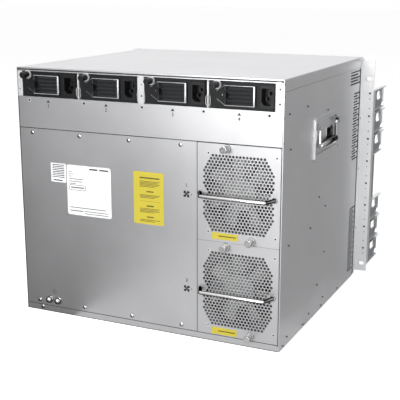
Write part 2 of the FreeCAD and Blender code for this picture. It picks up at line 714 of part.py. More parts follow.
def fan_bay_shelf():
    """Shelf between the fan trays, with a lip behind their edges."""
    z = tray_floor(1) - SEAM / 2
    shelf = box(-INNER, FAN_WALL, BACKPLANE_REAR, LIP_REAR - SHEET, z - SHEET / 2, z + SHEET / 2)
    low = z - LIP_OVERLAP
    high = z + LIP_OVERLAP
    lip = rectangle("Y", LIP_REAR - SHEET, -INNER, FAN_WALL - SHEET, low, high)
    return join([shelf, plate("Y", SHEET, [lip] + thread_holes(LIP_REAR - SHEET, low, high))])


def card_guides():
    """Grooved rails on the side panels, two for each slot."""
    inner = INNER - RAIL_WIDTH
    groove_floor = CARD_HALF + RUN
    rails = []
    for slot in range(SLOT_COUNT):
        low = slot_floor(slot) + RAIL_RISE
        high = low + RAIL_HEIGHT
        groove_low = slot_floor(slot) + CARD_SHEET_RISE - RUN
        groove_high = groove_low + SHEET + 2 * RUN
        for side in (-1, 1):
            corners = [
                (INNER, low), (INNER, high), (inner, high), (inner, groove_high),
                (groove_floor, groove_high), (groove_floor, groove_low), (inner, groove_low), (inner, low)]
            profile = outline("Y", PANEL_FRONT + BEND, [(side * x, z) for x, z in corners])
            rails.append(plate("Y", BACKPLANE_FRONT - PANEL_FRONT - BEND, [profile]))
    return group(rails)


def ear_slot_levels():
    """Heights of the rack slots: two near the top, and the lowest of the rack's pattern on the ear."""
    top = BODY_HEIGHT - RACK_HOLE_EDGE
    lowest = EAR_BOTTOM + RACK_SLOT_WIDTH + RACK_HOLE_DROP / 2
    units = int((top - lowest) / RACK_UNIT)
    return [top, top - RACK_HOLE_DROP, top - units * RACK_UNIT - RACK_HOLE_DROP / 2]


def rack_ear(side):
    """Folded ear: a leg on the chassis side and a slotted plate with the cable guide's holes."""
    outer = RACK_HALF
    top = BODY_HEIGHT
    wires = [outline("Y", EAR_FRONT, [
        (HALF - EAR_SHEET, EAR_BOTTOM), (outer, EAR_BOTTOM, 2.0), (outer, top, 2.0),
        (HALF - EAR_SHEET, top)])]
    for z in ear_slot_levels():
        wires.append(slotted("Y", EAR_FRONT, outer - RACK_HOLE_INSET, z, RACK_SLOT_LENGTH, RACK_SLOT_WIDTH))
    for slot in range(SLOT_COUNT):
        z = slot_floor(slot) + GUIDE_HOLE_RISE
        line = outer - GUIDE_HOLE_INSET
        wires.append(polygon("Y", EAR_FRONT, line, z, GUIDE_HOLE_RADIUS, GUIDE_HOLE_SIDE_COUNT))
        for dz in (GUIDE_PIN_ABOVE, -GUIDE_PIN_BELOW):
            wires.append(polygon("Y", EAR_FRONT, line, z + dz, GUIDE_PIN_RADIUS, 6))
    face = plate("Y", EAR_SHEET, wires)
    back = FRONT + EAR_LEG
    mitre = MITRE - COVER_MITRE_GAP * math.sqrt(2)
    leg = outline("X", HALF - EAR_SHEET, [
        (EAR_FRONT, EAR_BOTTOM), (back, EAR_BOTTOM), (back, mitre - back),
        (mitre - top, top), (EAR_FRONT, top)])
    return mirrored(join([face, plate("X", EAR_SHEET, [leg])]), side)


def cable_guide(side):
    """Folded guide in front of an ear: a spine, and an inner plate with two groups of three rings."""
    outer = RACK_HALF
    spine_front = EAR_FRONT - GUIDE_SPINE
    strip_front = EAR_FRONT - GUIDE_STRIP
    ring_x = outer - RING_STEP - EAR_SHEET
    ring_y = GUIDE_FRONT + RING_FROM_FRONT
    groups = [[slot_floor(first + i) + RING_RISE for i in range(RING_COUNT)]
              for first in (0, SLOT_COUNT - RING_COUNT)]
    low = groups[0][0] - RING_BELOW
    high = groups[-1][-1] + RING_ABOVE
    clear_of_slot = ear_slot_levels()[-1] + RACK_SLOT_WIDTH / 2 + FOOT_CLEARANCE
    foot = box(outer - GUIDE_FOOT, outer, EAR_FRONT - EAR_SHEET, EAR_FRONT, clear_of_slot, high)
    spine = box(outer - EAR_SHEET, outer, spine_front, EAR_FRONT, low, high)
    step = box(ring_x, outer, spine_front, spine_front + EAR_SHEET, low, high)
    corners = [(spine_front + EAR_SHEET, low), (spine_front + EAR_SHEET, high)]
    wires = []
    pieces = [foot, spine, step]
    for middles in reversed(groups):
        corners.append((strip_front, middles[-1] + RING_ABOVE))
        for z in reversed(middles):
            high_edge = z + RING_ABOVE
            low_edge = z - RING_BELOW
            notch = GUIDE_FRONT + RING_NOTCH
            corners += [(GUIDE_FRONT, high_edge), (GUIDE_FRONT, low_edge + RING_SHOULDER), (notch, low_edge)]
            if z != middles[0]:
                corners.append((notch, z - SLOT_PITCH + RING_ABOVE))
            wires.append(slotted("X", ring_x, ring_y, z, RING_LENGTH, RING_HEIGHT))
            pieces.append(box(ring_x, outer, GUIDE_FRONT, spine_front, high_edge - SHEET, high_edge))
            pieces.append(box(ring_x, outer, notch, spine_front, low_edge, low_edge + SHEET))
            pieces.append(box(ring_x, ring_x + 2 * EAR_SHEET, GUIDE_FRONT, GUIDE_FRONT + SHEET,
                              low_edge + RING_SHOULDER, high_edge))
        corners.append((strip_front, middles[0] - RING_BELOW))
    pieces.append(plate("X", EAR_SHEET, [outline("X", ring_x, corners)] + wires))
    return mirrored(join(pieces), side)


def handle_plate(side):
    """Plate of a drop handle: a raised frame around a dish, and two hinge barrels."""
    middle = HANDLE_MIDDLE
    dish_half = DISH_LENGTH / 2
    dish_z = HANDLE_TOP - DISH_TOP - DISH_HEIGHT / 2
    rim = centred("X", HALF, middle, HANDLE_TOP - PLATE_HEIGHT / 2, PLATE_LENGTH, PLATE_HEIGHT, PLATE_CORNER)
    dish = centred("X", HALF, middle, dish_z, DISH_LENGTH, DISH_HEIGHT, PLATE_CORNER)
    pieces = [plate("X", PLATE_SHEET, [rim, dish])]
    barrel = DROP_ROD_RADIUS + DROP_BARREL_WALL
    for end in (-1, 1):
        near = middle + end * (dish_half - DROP_EAR)
        far = middle + end * (dish_half + 1.0)
        ear = box(HALF, DROP_AXIS_X + barrel, near, far, DROP_AXIS_Z - barrel, DROP_AXIS_Z + barrel)
        mouth = V(DROP_AXIS_X, near - end, DROP_AXIS_Z)
        bottom = V(DROP_AXIS_X, far - end * DROP_BARREL_WALL, DROP_AXIS_Z)
        pieces.append(ear.cut(rod(DROP_ROD_RADIUS + SHAFT_FIT, mouth, bottom)))
    return mirrored(join(pieces), side)


def drop_handle(side):
    """Bent rod with a thicker grip, hanging from the plate's barrels."""
    x = DROP_AXIS_X
    grip_z = DROP_AXIS_Z - DROP_LENGTH
    end = DISH_LENGTH / 2 + 1.0 - DROP_BARREL_WALL - RUN
    offsets = [(end, DROP_AXIS_Z), (DROP_PIVOT_SPAN / 2, DROP_AXIS_Z), (DROP_GRIP_SPAN / 2, grip_z)]
    points = [V(x, HANDLE_MIDDLE + y, z) for y, z in offsets]
    points += [V(x, HANDLE_MIDDLE - y, z) for y, z in reversed(offsets)]
    bail = bent_rod(DROP_ROD_RADIUS, DROP_BEND, points)
    reach = DROP_GRIP_SPAN / 2 - DROP_BEND - DROP_ROD_RADIUS / 2
    grip = rod(DROP_GRIP_RADIUS, V(x, HANDLE_MIDDLE - reach, grip_z), V(x, HANDLE_MIDDLE + reach, grip_z))
    return mirrored(join([bail, grip]), side)


def grille_rows():
    """Centres of the grille's holes about the tray's middle, row by row.

    The field widens by half a pitch a row below its top edge, keeps its width over a zigzag, and is
    nipped in beside the handle's feet, the same above and below the middle row.
    """
    rise = GRILLE_PITCH * math.sqrt(3) / 2
    middle = int((TRAY_HEIGHT / 2 - GRILLE_EDGE) / rise)
    centres = []
    for row in range(2 * middle + 1):
        from_end = min(row, 2 * middle - row)
        extra = min(from_end, GRILLE_SHOULDER_COUNT)
        if from_end > GRILLE_SHOULDER_COUNT:
            extra = GRILLE_SHOULDER_COUNT - (from_end - GRILLE_SHOULDER_COUNT) % 2
        holes = GRILLE_TOP_COUNT + extra
        z = (middle - row) * rise
        for i in range(holes):
            centres.append(((i - (holes - 1) / 2) * GRILLE_PITCH, z))
    return centres


def fan_tray(tray):
    """Perforated face with folded sides that carry the fan."""
    low = tray_floor(tray)
    high = low + TRAY_HEIGHT
    middle = (low + high) / 2
    wires = [rectangle("Y", LIP_REAR, TRAY_OUTER, TRAY_INNER, low, high, 1.0)]
    for x, z in grille_rows():
        x += TRAY_MIDDLE
        wires.append(polygon("Y", LIP_REAR, x, middle + z, GRILLE_HOLE / 2, 6, GRILLE_TURN_DEG))
    for x, z in thumbscrew_places()[2 * tray:2 * tray + 2]:
        wires.append(circle("Y", LIP_REAR, x, z, THREAD_RADIUS + THREAD_SHOULDER + SHAFT_FIT))
    pieces = [plate("Y", SHEET, wires)]
    wall_low = low + LIP_OVERLAP + RUN
    wall_high = high - LIP_OVERLAP - RUN
    back = REAR - TRAY_DEPTH
    for edge, inward in ((TRAY_OUTER, 1), (TRAY_INNER, -1)):
        x = edge + inward * TRAY_SIDE_INSET
        pieces.append(box(x, x + inward * TRAY_WALL, back, LIP_REAR, wall_low, wall_high))
    return join(pieces)


def fan_housing(tray):
    """Square housing with a round duct, a motor base and its struts."""
    middle = tray_floor(tray) + TRAY_HEIGHT / 2
    front = LIP_REAR - FAN_DEPTH
    square = centred("Y", front, TRAY_MIDDLE, middle, FAN_SIZE, FAN_SIZE, FAN_CORNER)
    turn = 180.0 / FAN_DUCT_SIDE_COUNT
    duct = polygon("Y", front, TRAY_MIDDLE, middle, DUCT_RADIUS, FAN_DUCT_SIDE_COUNT, turn)
    base_start = V(TRAY_MIDDLE, front, middle)
    base_end = V(TRAY_MIDDLE, front + FAN_BASE, middle)
    pieces = [plate("Y", FAN_DEPTH, [square, duct]), rod(FAN_HUB_RADIUS - RUN, base_start, base_end)]
    for i in range(FAN_STRUT_COUNT):
        strut = box(-FAN_STRUT_WIDTH / 2, FAN_STRUT_WIDTH / 2, front, front + FAN_BASE - 1.0,
                    FAN_HUB_RADIUS / 2, DUCT_RADIUS + FAN_TIP_GAP)
        strut.rotate(V(0, 0, 0), V(0, 1, 0), (i + 0.5) * 360.0 / FAN_STRUT_COUNT)
        strut.translate(V(TRAY_MIDDLE, 0, middle))
        pieces.append(strut)
    past = V(0, 1.0, 0)
    bore = rod(FAN_SHAFT_RADIUS + SHAFT_FIT, base_start - past, base_end + past)
    return join(pieces).cut(bore)


def blade(tip):
    """One twisted fan blade standing up from the hub, steep at its root and flatter at its tip."""
    root = FAN_HUB_RADIUS - FAN_BLADE_ROOT
    half_sheet = FAN_BLADE_SHEET / 2
    sections = []
    for i in range(FAN_SECTION_COUNT):
        share = i / (FAN_SECTION_COUNT - 1)
        height = root + (tip - root) * share
        chord = FAN_BLADE_ROOT_CHORD + (FAN_BLADE_TIP_CHORD - FAN_BLADE_ROOT_CHORD) * share
        angle = math.radians(FAN_ROOT_ANGLE_DEG + (FAN_TIP_ANGLE_DEG - FAN_ROOT_ANGLE_DEG) * share)
        along = V(math.cos(angle), math.sin(angle), 0.0)
        across = V(-math.sin(angle), math.cos(angle), 0.0)
        nose = along * (-chord / 2) + V(0, 0, height)
        crown = across * FAN_BLADE_BOW + V(0, 0, height)
        tail = along * (chord / 2) + V(0, 0, height)
        thin = across * (half_sheet / 3)
        thick = across * half_sheet
        corners = [nose + thin, crown + thick, tail + thin, tail - thin, crown - thick, nose - thin]
        sections.append(Part.makePolygon(corners + corners[:1]))
    return Part.makeLoft(sections, True, True)


def fan_rotor(tray):
    """Hub with twisted blades and its shaft."""
    middle = tray_floor(tray) + TRAY_HEIGHT / 2
    hub_back = LIP_REAR - FAN_DEPTH + FAN_BASE + RUN * 2
    tip = DUCT_RADIUS - FAN_TIP_GAP
    hub = rod(FAN_HUB_RADIUS, V(0, hub_back, 0), V(0, hub_back + FAN_HUB_DEPTH, 0))
    shaft = rod(FAN_SHAFT_RADIUS, V(0, hub_back - FAN_BASE, 0), V(0, hub_back + 1.0, 0))
    pieces = [hub, shaft]
    for i in range(FAN_BLADE_COUNT):
        wing = blade(tip)
        wing.translate(V(0, hub_back + FAN_HUB_DEPTH / 2, 0))
        wing.rotate(V(0, 0, 0), V(0, 1, 0), 360.0 * i / FAN_BLADE_COUNT)
        pieces.append(wing)
    envelope = rod(tip, V(0, hub_back - FAN_BASE, 0), V(0, LIP_REAR, 0))
    rotor = join(pieces).common(envelope)
    rotor.translate(V(TRAY_MIDDLE, 0, middle))
    return rotor


def fan_handle(tray):
    """Bent rod across the tray, with a collar at each foot."""
    z = tray_floor(tray) + TRAY_HEIGHT / 2 - FAN_HANDLE_DROP
    x0 = TRAY_INNER - FAN_HANDLE_INNER
    x1 = TRAY_OUTER + FAN_HANDLE_OUTER
    out = REAR + FAN_HANDLE_STAND
    path = [V(x0, REAR, z), V(x0, out, z), V(x1, out, z), V(x1, REAR, z)]
    pieces = [bent_rod(FAN_HANDLE_RADIUS, FAN_HANDLE_BEND, path)]
    for x in (x0, x1):
        pieces.append(rod(FAN_HANDLE_COLLAR, V(x, REAR, z), V(x, REAR + FAN_HANDLE_COLLAR_HEIGHT, z)))
    return join(pieces)


def turned(x, z, steps):
    """Turned piece along Y from (radius, start, end) steps."""
    return join([rod(radius, V(x, start, z), V(x, end, z)) for radius, start, end in steps])


def fan_thumbscrew(place):
    """Captive thumbscrew: cap, collar, shank and threaded tip."""
    x, z = thumbscrew_places()[place]
    cap = REAR + KNOB_COLLAR
    return turned(x, z, [
        (KNOB_RADIUS, cap, cap + KNOB_LENGTH), (KNOB_RADIUS - KNOB_STEP, REAR + RUN, cap),
        (THREAD_RADIUS + THREAD_SHOULDER, LIP_REAR + SHAFT_FIT, REAR + RUN),
        (THREAD_RADIUS, LIP_REAR - THREAD_LENGTH, LIP_REAR + SHAFT_FIT)])


def on_supply(number, left, rise):
    """X and Z of a place on a supply's face, from its left edge and its lower edge."""
    return supply_left(number) - left, BAY_FLOOR + RUN + rise


def inlet_rise():
    """Height of the inlet's lower edge on the supply's face."""
    return (POWER_HEIGHT - INLET_HEIGHT) / 2


def power_case(number):
    """Sheet case with louvre slots, a hole for the inlet and the handle's hinge barrel."""
    left, low = on_supply(number, 0.0, 0.0)
    right = left - POWER_WIDTH
    high = low + POWER_HEIGHT
    back = REAR - POWER_LENGTH
    shell = box(right, left, back, REAR, low, high)
    wall = POWER_WALL
    tools = [box(right + wall, left - wall, back + wall, REAR - wall, low + wall, high - wall)]
    inside = REAR - 2 * wall
    outside = REAR + wall
    first = (POWER_HEIGHT - (SLAT_COUNT - 1) * SLAT_PITCH) / 2
    for i in range(SLAT_COUNT):
        x, z = on_supply(number, SLAT_LEFT, first + i * SLAT_PITCH)
        tools.append(box(x, x - SLAT_LENGTH, inside, outside, z - SLAT_OPEN / 2, z + SLAT_OPEN / 2))
    x, z = on_supply(number, INLET_LEFT + INLET_WIDTH / 2, inlet_rise() + INLET_HEIGHT / 2)
    half_width = SOCKET_WIDTH / 2 + SOCKET_WALL
    half_height = SOCKET_HEIGHT / 2 + SOCKET_WALL
    tools.append(box(x - half_width, x + half_width, inside, outside, z - half_height, z + half_height))
    x, z = on_supply(number, POWER_KNOB_LEFT, POWER_HEIGHT - POWER_KNOB_RADIUS)
    tools.append(rod(THREAD_RADIUS + SHAFT_FIT, V(x, inside, z), V(x, outside, z)))
    x, z = on_supply(number, PULL_LEFT, POWER_HEIGHT / 2)
    reach = PULL_PIN_RADIUS + PULL_BARREL_WALL
    rise = PULL_BARREL_HALF
    barrel = box(x - reach, x + reach, REAR - wall / 2, PULL_AXIS_Y + reach, z - rise, z + rise)
    past = V(0, 0, rise + 1.0)
    pivot = V(x, PULL_AXIS_Y, z)
    return join([shell.cut(tools), barrel]).cut(rod(PULL_PIN_RADIUS + SHAFT_FIT, pivot - past, pivot + past))


def power_inlet(number):
    """Mains inlet: a bezel, a socket with two cut corners and three blades."""
    x, z = on_supply(number, INLET_LEFT + INLET_WIDTH / 2, inlet_rise() + INLET_HEIGHT / 2)
    reach = SOCKET_WIDTH / 2
    rise = SOCKET_HEIGHT / 2
    floor = REAR - SOCKET_DEPTH
    cut = SOCKET_CHAMFER
    cavity = [(x - reach, z + rise), (x - reach, z - rise + cut), (x - reach + cut, z - rise),
              (x + reach - cut, z - rise), (x + reach, z - rise + cut), (x + reach, z + rise)]
    bezel = centred("Y", REAR, x, z, INLET_WIDTH, INLET_HEIGHT, INLET_CORNER)
    pieces = [plate("Y", INLET_PROUD, [bezel, outline("Y", REAR, cavity)])]
    wide = reach + SOCKET_WALL - SHAFT_FIT
    tall = rise + SOCKET_WALL - SHAFT_FIT
    tube = rectangle("Y", floor, x - wide, x + wide, z - tall, z + tall)
    pieces.append(plate("Y", SOCKET_DEPTH, [tube, outline("Y", floor, cavity)]))
    pieces.append(box(x - wide, x + wide, floor - SOCKET_FLOOR, floor, z - tall, z + tall))
    for across, up in ((0, 1), (-1, -1), (1, -1)):
        pin = centred("Y", floor, x + across * PIN_SPREAD, z + up * PIN_SPREAD, PIN_WIDTH, PIN_HEIGHT)
        pieces.append(plate("Y", PIN_LENGTH, [pin]))
    return join(pieces)


def power_handle(number):
    """House-shaped pull handle, hinged in the barrel at its narrow end."""
    x, z = on_supply(number, 0.0, POWER_HEIGHT / 2)
    reach = POWER_HEIGHT / 2 - PULL_MARGIN
    inner_reach = reach - PULL_BAND
    slant = PULL_BAND / 4
    outer = [(PULL_LEFT - PULL_BAND / 2, PULL_NECK + slant, 0.0), (PULL_SHOULDER, reach, PULL_BEND),
             (PULL_RIGHT, reach, PULL_BEND)]
    inner = [(PULL_RIGHT - PULL_BAND, inner_reach, PULL_BEND / 3),
             (PULL_SHOULDER + slant, inner_reach, PULL_BEND),
             (PULL_LEFT + PULL_BAND / 2, PULL_NECK - slant, 0.0)]
    corners = [(x - u, z + h, radius) for u, h, radius in outer]
    corners += [(x - u, z - h, radius) for u, h, radius in reversed(outer)]
    corners += [(x - u, z - h, radius) for u, h, radius in reversed(inner)]
    corners += [(x - u, z + h, radius) for u, h, radius in inner]
    pieces = [plate("Y", PULL_THICK, [outline("Y", PULL_AXIS_Y - PULL_THICK / 2, corners)])]
    for end in (-1, 1):
        inside = V(x - PULL_LEFT, PULL_AXIS_Y, z + end * PULL_BARREL_HALF / 2)
        pieces.append(rod(PULL_PIN_RADIUS, inside, V(x - PULL_LEFT, PULL_AXIS_Y, z + end * PULL_NECK)))
    return join(pieces)


def power_knob(number):
    """Black thumbscrew of a supply."""
    x, z = on_supply(number, POWER_KNOB_LEFT, POWER_HEIGHT - POWER_KNOB_RADIUS)
    cap = REAR + POWER_KNOB_COLLAR
    return turned(x, z, [
        (POWER_KNOB_RADIUS, cap, cap + POWER_KNOB_LENGTH), (POWER_KNOB_RADIUS - KNOB_STEP, REAR + RUN, cap),
        (THREAD_RADIUS, REAR - 3 * POWER_WALL, REAR + RUN)])


def lever_pivot(card, side):
    """X, Y and Z of a card lever's hinge axis."""
    z = slot_floor(FIRST_CONTROL_SLOT + card) + SLOT_PITCH / 2
    return side * (CARD_HALF - LEVER_INSET), FRONT - LEVER_STAND, z


def control_card(card):
    """Control card: faceplate, card sheet, a network port, back connectors and lever lugs."""
    floor = slot_floor(FIRST_CONTROL_SLOT + card)
    face_back = FRONT + SHEET / 2
    port_z = floor + SLOT_PITCH / 2
    x0 = PORT_FROM_MIDDLE - PORT_WIDTH / 2
    x1 = PORT_FROM_MIDDLE + PORT_WIDTH / 2
    z0 = port_z - PORT_HEIGHT / 2
    z1 = port_z + PORT_HEIGHT / 2
    outside = rectangle("Y", FRONT, -CARD_HALF, CARD_HALF, floor + SEAM, floor + SLOT_PITCH - SEAM)
    pieces = [plate("Y", SHEET, [outside, rectangle("Y", FRONT, x0, x1, z0, z1)])]
    sheet_z = floor + CARD_SHEET_RISE
    pieces.append(box(-CARD_HALF, CARD_HALF, face_back, CARD_BACK - PLUG_DEPTH / 2, sheet_z, sheet_z + SHEET))
    pieces.append(box(x0 - SHEET, x1 + SHEET, face_back, FRONT + PORT_DEPTH + SHEET, sheet_z, z1 + SHEET))
    plug_top = sheet_z + CARD_PLUG_HEIGHT
    for x in (CARD_PLUG_NEAR, CARD_PLUG_FAR):
        end = x + CARD_PLUG_WIDTH / 2
        pieces.append(box(end - CARD_PLUG_WIDTH, end, CARD_BACK - 2 * PLUG_DEPTH, CARD_BACK,
                          sheet_z, plug_top))
    for side in (-1, 1):
        x, y, z = lever_pivot(card, side)
        for end in (-1, 1):
            near = z + end * (LEVER_HEIGHT / 2 + RUN)
            far = near + end * LUG
            bore = rod(LEVER_PIN_RADIUS + SHAFT_FIT, V(x, y, near - end), V(x, y, far + end))
            pieces.append(box(x - LUG, x + LUG, y - LUG, face_back, near, far).cut(bore))
    return join(pieces).cut(box(x0, x1, FRONT - 1.0, FRONT + PORT_DEPTH, z0, z1))


def card_lever(card, side):
    """Ejector lever that lies along the faceplate, with its hinge pin."""
    x, y, z = lever_pivot(card, side)
    half = LEVER_HEIGHT / 2
    back = y + LEVER_THICK / 2
    front = y - LEVER_THICK / 2
    heel = x + side * LUG
    tip = x - side * LEVER_LENGTH
    nose = tip + side * LEVER_NOSE
    round_off = LEVER_PIN_RADIUS
    arm = outline("Z", z - half, [
        (heel, back, round_off), (heel, front, round_off), (nose, front), (tip, y), (tip, back)])
    reach = half + RUN + LUG
    pin = rod(LEVER_PIN_RADIUS, V(x, y, z - reach), V(x, y, z + reach))
    return join([plate("Z", LEVER_HEIGHT, [arm]), pin])


def slot_fillers():
    """Blank panels with folded edges in the slots that hold no control card."""
    fillers = []
    back = FRONT + FILLER_FLANGE
    for slot in range(SLOT_COUNT):
        if FIRST_CONTROL_SLOT <= slot < FIRST_CONTROL_SLOT + CONTROL_CARD_COUNT:
            continue
        low = slot_floor(slot) + SEAM
        high = slot_floor(slot) + SLOT_PITCH - SEAM
        profile = outline("X", -CARD_HALF, [
            (FRONT, low), (back, low), (back, low + SHEET), (FRONT + SHEET, low + SHEET),
            (FRONT + SHEET, high - SHEET), (back, high - SHEET), (back, high), (FRONT, high)])
        fillers.append(plate("X", 2 * CARD_HALF, [profile]))
    return group(fillers)


def rear_screws():
    """Screw heads on the rear panels, and the two ground studs with their washers and nuts."""
    screws = []
    for x, z in cover_screw_places() + upper_screw_places():
        screws.append(rod(SCREW_HEAD_RADIUS, V(x, REAR, z), V(x, REAR + SCREW_HEAD, z)))
    for x, z in ground_places():
        washer = rod(GROUND_WASHER_RADIUS, V(x, REAR, z), V(x, REAR + GROUND_WASHER, z))
        nut = plate("Y", GROUND_NUT, [polygon("Y", REAR + GROUND_WASHER, x, z, GROUND_NUT_RADIUS, 6)])
        stud = rod(SCREW_RADIUS, V(x, REAR, z), V(x, REAR + GROUND_STUD, z))
        screws.append(join([washer, nut, stud]))
    return group(screws)


def build():
    """All nodes by name."""
    nodes = {
        "base_pan": base_pan(),
        "top_cover": top_cover(),
        "front_top_panel": front_top_panel(),
        "rear_upper_panel": rear_upper_panel(),
        "rear_cover_plate": rear_cover_plate(),
        "power_bay_floor": power_bay_floor(),
        "power_bay_roof": power_bay_roof(),
        "power_bay_dividers": power_bay_dividers(),
        "power_bay_clips": power_bay_clips(),
        "power_backplane": power_backplane(),
        "backplane": backplane(),
        "fan_bay_wall": fan_bay_wall(),
        "fan_bay_shelf": fan_bay_shelf(),
        "card_guides": card_guides(),
        "slot_fillers": slot_fillers(),
        "rear_screws": rear_screws(),
    }
    for name, side in (("left", -1), ("right", 1)):
        nodes["side_panel_" + name] = side_panel(side)
        nodes["rack_ear_" + name] = rack_ear(side)
        nodes["cable_guide_" + name] = cable_guide(side)
        nodes["handle_plate_" + name] = handle_plate(side)
        nodes["drop_handle_" + name] = drop_handle(side)
    for tray in range(FAN_TRAY_COUNT):
        tag = "_%d" % (FAN_TRAY_COUNT - tray)
        nodes["fan_tray" + tag] = fan_tray(tray)
        nodes["fan_housing" + tag] = fan_housing(tray)
        nodes["fan_rotor" + tag] = fan_rotor(tray)
        nodes["fan_handle" + tag] = fan_handle(tray)
        nodes["fan_thumbscrew_upper" + tag] = fan_thumbscrew(2 * tray)
        nodes["fan_thumbscrew_lower" + tag] = fan_thumbscrew(2 * tray + 1)
    for number in range(POWER_COUNT):
        tag = "_%d" % (number + 1)
        nodes["power_case" + tag] = power_case(number)
        nodes["power_inlet" + tag] = power_inlet(number)
        nodes["power_handle" + tag] = power_handle(number)
        nodes["power_knob" + tag] = power_knob(number)
    for card in range(CONTROL_CARD_COUNT):
        tag = "_%d" % (card + 1)
        nodes["control_card" + tag] = control_card(card)
        nodes["card_lever_left" + tag] = card_lever(card, -1)
        nodes["card_lever_right" + tag] = card_lever(card, 1)
    return nodes


os.makedirs("parts", exist_ok=True)
for node_name, node_shape in build().items():
    node_shape.exportStep(os.path.join("parts", node_name + ".step"))
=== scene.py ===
"""Looks of a modular chassis switch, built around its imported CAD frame.

Millimetres are used for every size in the classes and metres in the meshes. +Z is up, the cards and rack
ears face -Y, the power supplies and fan trays face +Y, and left means the -X side.
"""
from __future__ import annotations

import json
import logging
import math
from collections.abc import Callable, Iterable, Sequence
from dataclasses import dataclass, field
from enum import Enum

import bmesh
import bpy
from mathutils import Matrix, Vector


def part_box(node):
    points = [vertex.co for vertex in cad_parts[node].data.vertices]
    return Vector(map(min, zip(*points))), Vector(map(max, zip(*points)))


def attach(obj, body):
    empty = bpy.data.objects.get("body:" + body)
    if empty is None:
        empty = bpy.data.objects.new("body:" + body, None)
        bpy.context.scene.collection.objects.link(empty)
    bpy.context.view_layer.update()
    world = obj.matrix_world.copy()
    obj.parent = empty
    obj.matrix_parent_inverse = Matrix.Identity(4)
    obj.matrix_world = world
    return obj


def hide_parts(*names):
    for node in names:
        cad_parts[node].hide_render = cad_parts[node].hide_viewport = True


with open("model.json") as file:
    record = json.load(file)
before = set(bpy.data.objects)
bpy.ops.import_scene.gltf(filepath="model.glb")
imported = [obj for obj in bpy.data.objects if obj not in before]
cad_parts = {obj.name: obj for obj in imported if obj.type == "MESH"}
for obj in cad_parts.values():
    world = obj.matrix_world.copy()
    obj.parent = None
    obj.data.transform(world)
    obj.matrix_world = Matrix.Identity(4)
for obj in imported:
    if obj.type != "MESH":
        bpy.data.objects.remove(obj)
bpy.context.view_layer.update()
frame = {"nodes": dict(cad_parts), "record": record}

LOG = logging.getLogger("chassis")
MM = 0.001
HALF = 221.0                  # half the body's width
REAR = 204.0                  # rear face
FRONT = -204.0                # rear of the ears
SKIN = 0.04                   # how far a print stands out of its panel
CAPITAL = 0.69                # height of a capital as a share of the font size
Colour = tuple[float, float, float]
Point = tuple[float, float, float]
Span = tuple[float, float, float, float]    # two limits across, then two up or down
Element = bmesh.types.BMFace | bmesh.types.BMEdge
OUT = (0.0, 1.0, 0.0)         # away from the rear face


def point(place: Sequence[float]) -> Vector:
    """Vector in metres from a place in millimetres."""
    return Vector(place) * MM


def linear(level: Sequence[float]) -> tuple[float, float, float, float]:
    """Linear colour with alpha from display levels of 0 to 255."""
    shares = [max(0.0, min(1.0, value / 255.0)) for value in level]
    out = [s / 12.92 if s <= 0.04045 else ((s + 0.055) / 1.055) ** 2.4 for s in shares]
    return (out[0], out[1], out[2], 1.0)


# ---------------------------------------------------------------- modelling


def deselect() -> None:
    """Leave nothing selected."""
    if bpy.context.mode != "OBJECT":
        bpy.ops.object.mode_set(mode="OBJECT")
    for obj in bpy.context.selected_objects:
        obj.select_set(False)


def pick(obj: bpy.types.Object) -> None:
    """Select one object alone and make it active."""
    deselect()
    obj.select_set(True)
    bpy.context.view_layer.objects.active = obj


def settle(obj: bpy.types.Object) -> bpy.types.Object:
    """Put an object's place, turn and size into its mesh."""
    pick(obj)
    bpy.ops.object.transform_apply(location=True, rotation=True, scale=True)
    return obj


def named(name: str) -> bpy.types.Object:
    """Name the active object and its mesh, and settle it."""
    obj = bpy.context.active_object
    obj.name = name
    obj.data.name = name
    return settle(obj)


def edit(obj: bpy.types.Object, mode: str = "FACE") -> bmesh.types.BMesh:
    """Enter edit mode with nothing selected and return the mesh being edited."""
    pick(obj)
    bpy.ops.object.mode_set(mode="EDIT")
    bpy.ops.mesh.select_mode(type=mode)
    bpy.ops.mesh.select_all(action="DESELECT")
    return bmesh.from_edit_mesh(obj.data)


def edit_all(obj: bpy.types.Object, mode: str = "FACE") -> None:
    """Enter edit mode with everything selected."""
    edit(obj, mode)
    bpy.ops.mesh.select_all(action="SELECT")


def select_where(obj: bpy.types.Object, wanted: Callable[[Element], bool], mode: str = "FACE") -> int:
    """Enter edit mode and select the faces or edges that pass a test.

    Args:
        obj: The mesh object.
        wanted: Test of one face or edge.
        mode: FACE or EDGE.

    Returns:
        How many are selected.
    """
    mesh = edit(obj, mode)
    chosen = [part for part in (mesh.faces if mode == "FACE" else mesh.edges) if wanted(part)]
    for part in chosen:
        part.select_set(True)
    bmesh.update_edit_mesh(obj.data)
    return len(chosen)


def done() -> None:
    """Leave edit mode."""
    bpy.ops.object.mode_set(mode="OBJECT")


def joined(name: str, parts: Iterable[bpy.types.Object]) -> bpy.types.Object:
    """Join objects into one under a new name.

    Args:
        name: Name of the whole.
        parts: The objects, which keep their materials.

    Returns:
        The whole.
    """
    parts = list(parts)
    deselect()
    for part in parts:
        part.select_set(True)
    bpy.context.view_layer.objects.active = parts[0]
    if len(parts) > 1:
        bpy.ops.object.join()
    return named(name)


def copied(obj: bpy.types.Object, move: Sequence[float] = (0.0, 0.0, 0.0)) -> bpy.types.Object:
    """Copy of an object with its own mesh, moved by a distance in millimetres."""
    pick(obj)
    bpy.ops.object.duplicate(linked=False)
    twin = bpy.context.active_object
    twin.location = point(move)
    return settle(twin)


def smooth(obj: bpy.types.Object, angle: float = 35.0) -> bpy.types.Object:
    """Smooth shading across edges flatter than an angle in degrees."""
    pick(obj)
    bpy.ops.object.shade_smooth_by_angle(angle=math.radians(angle))
    return obj


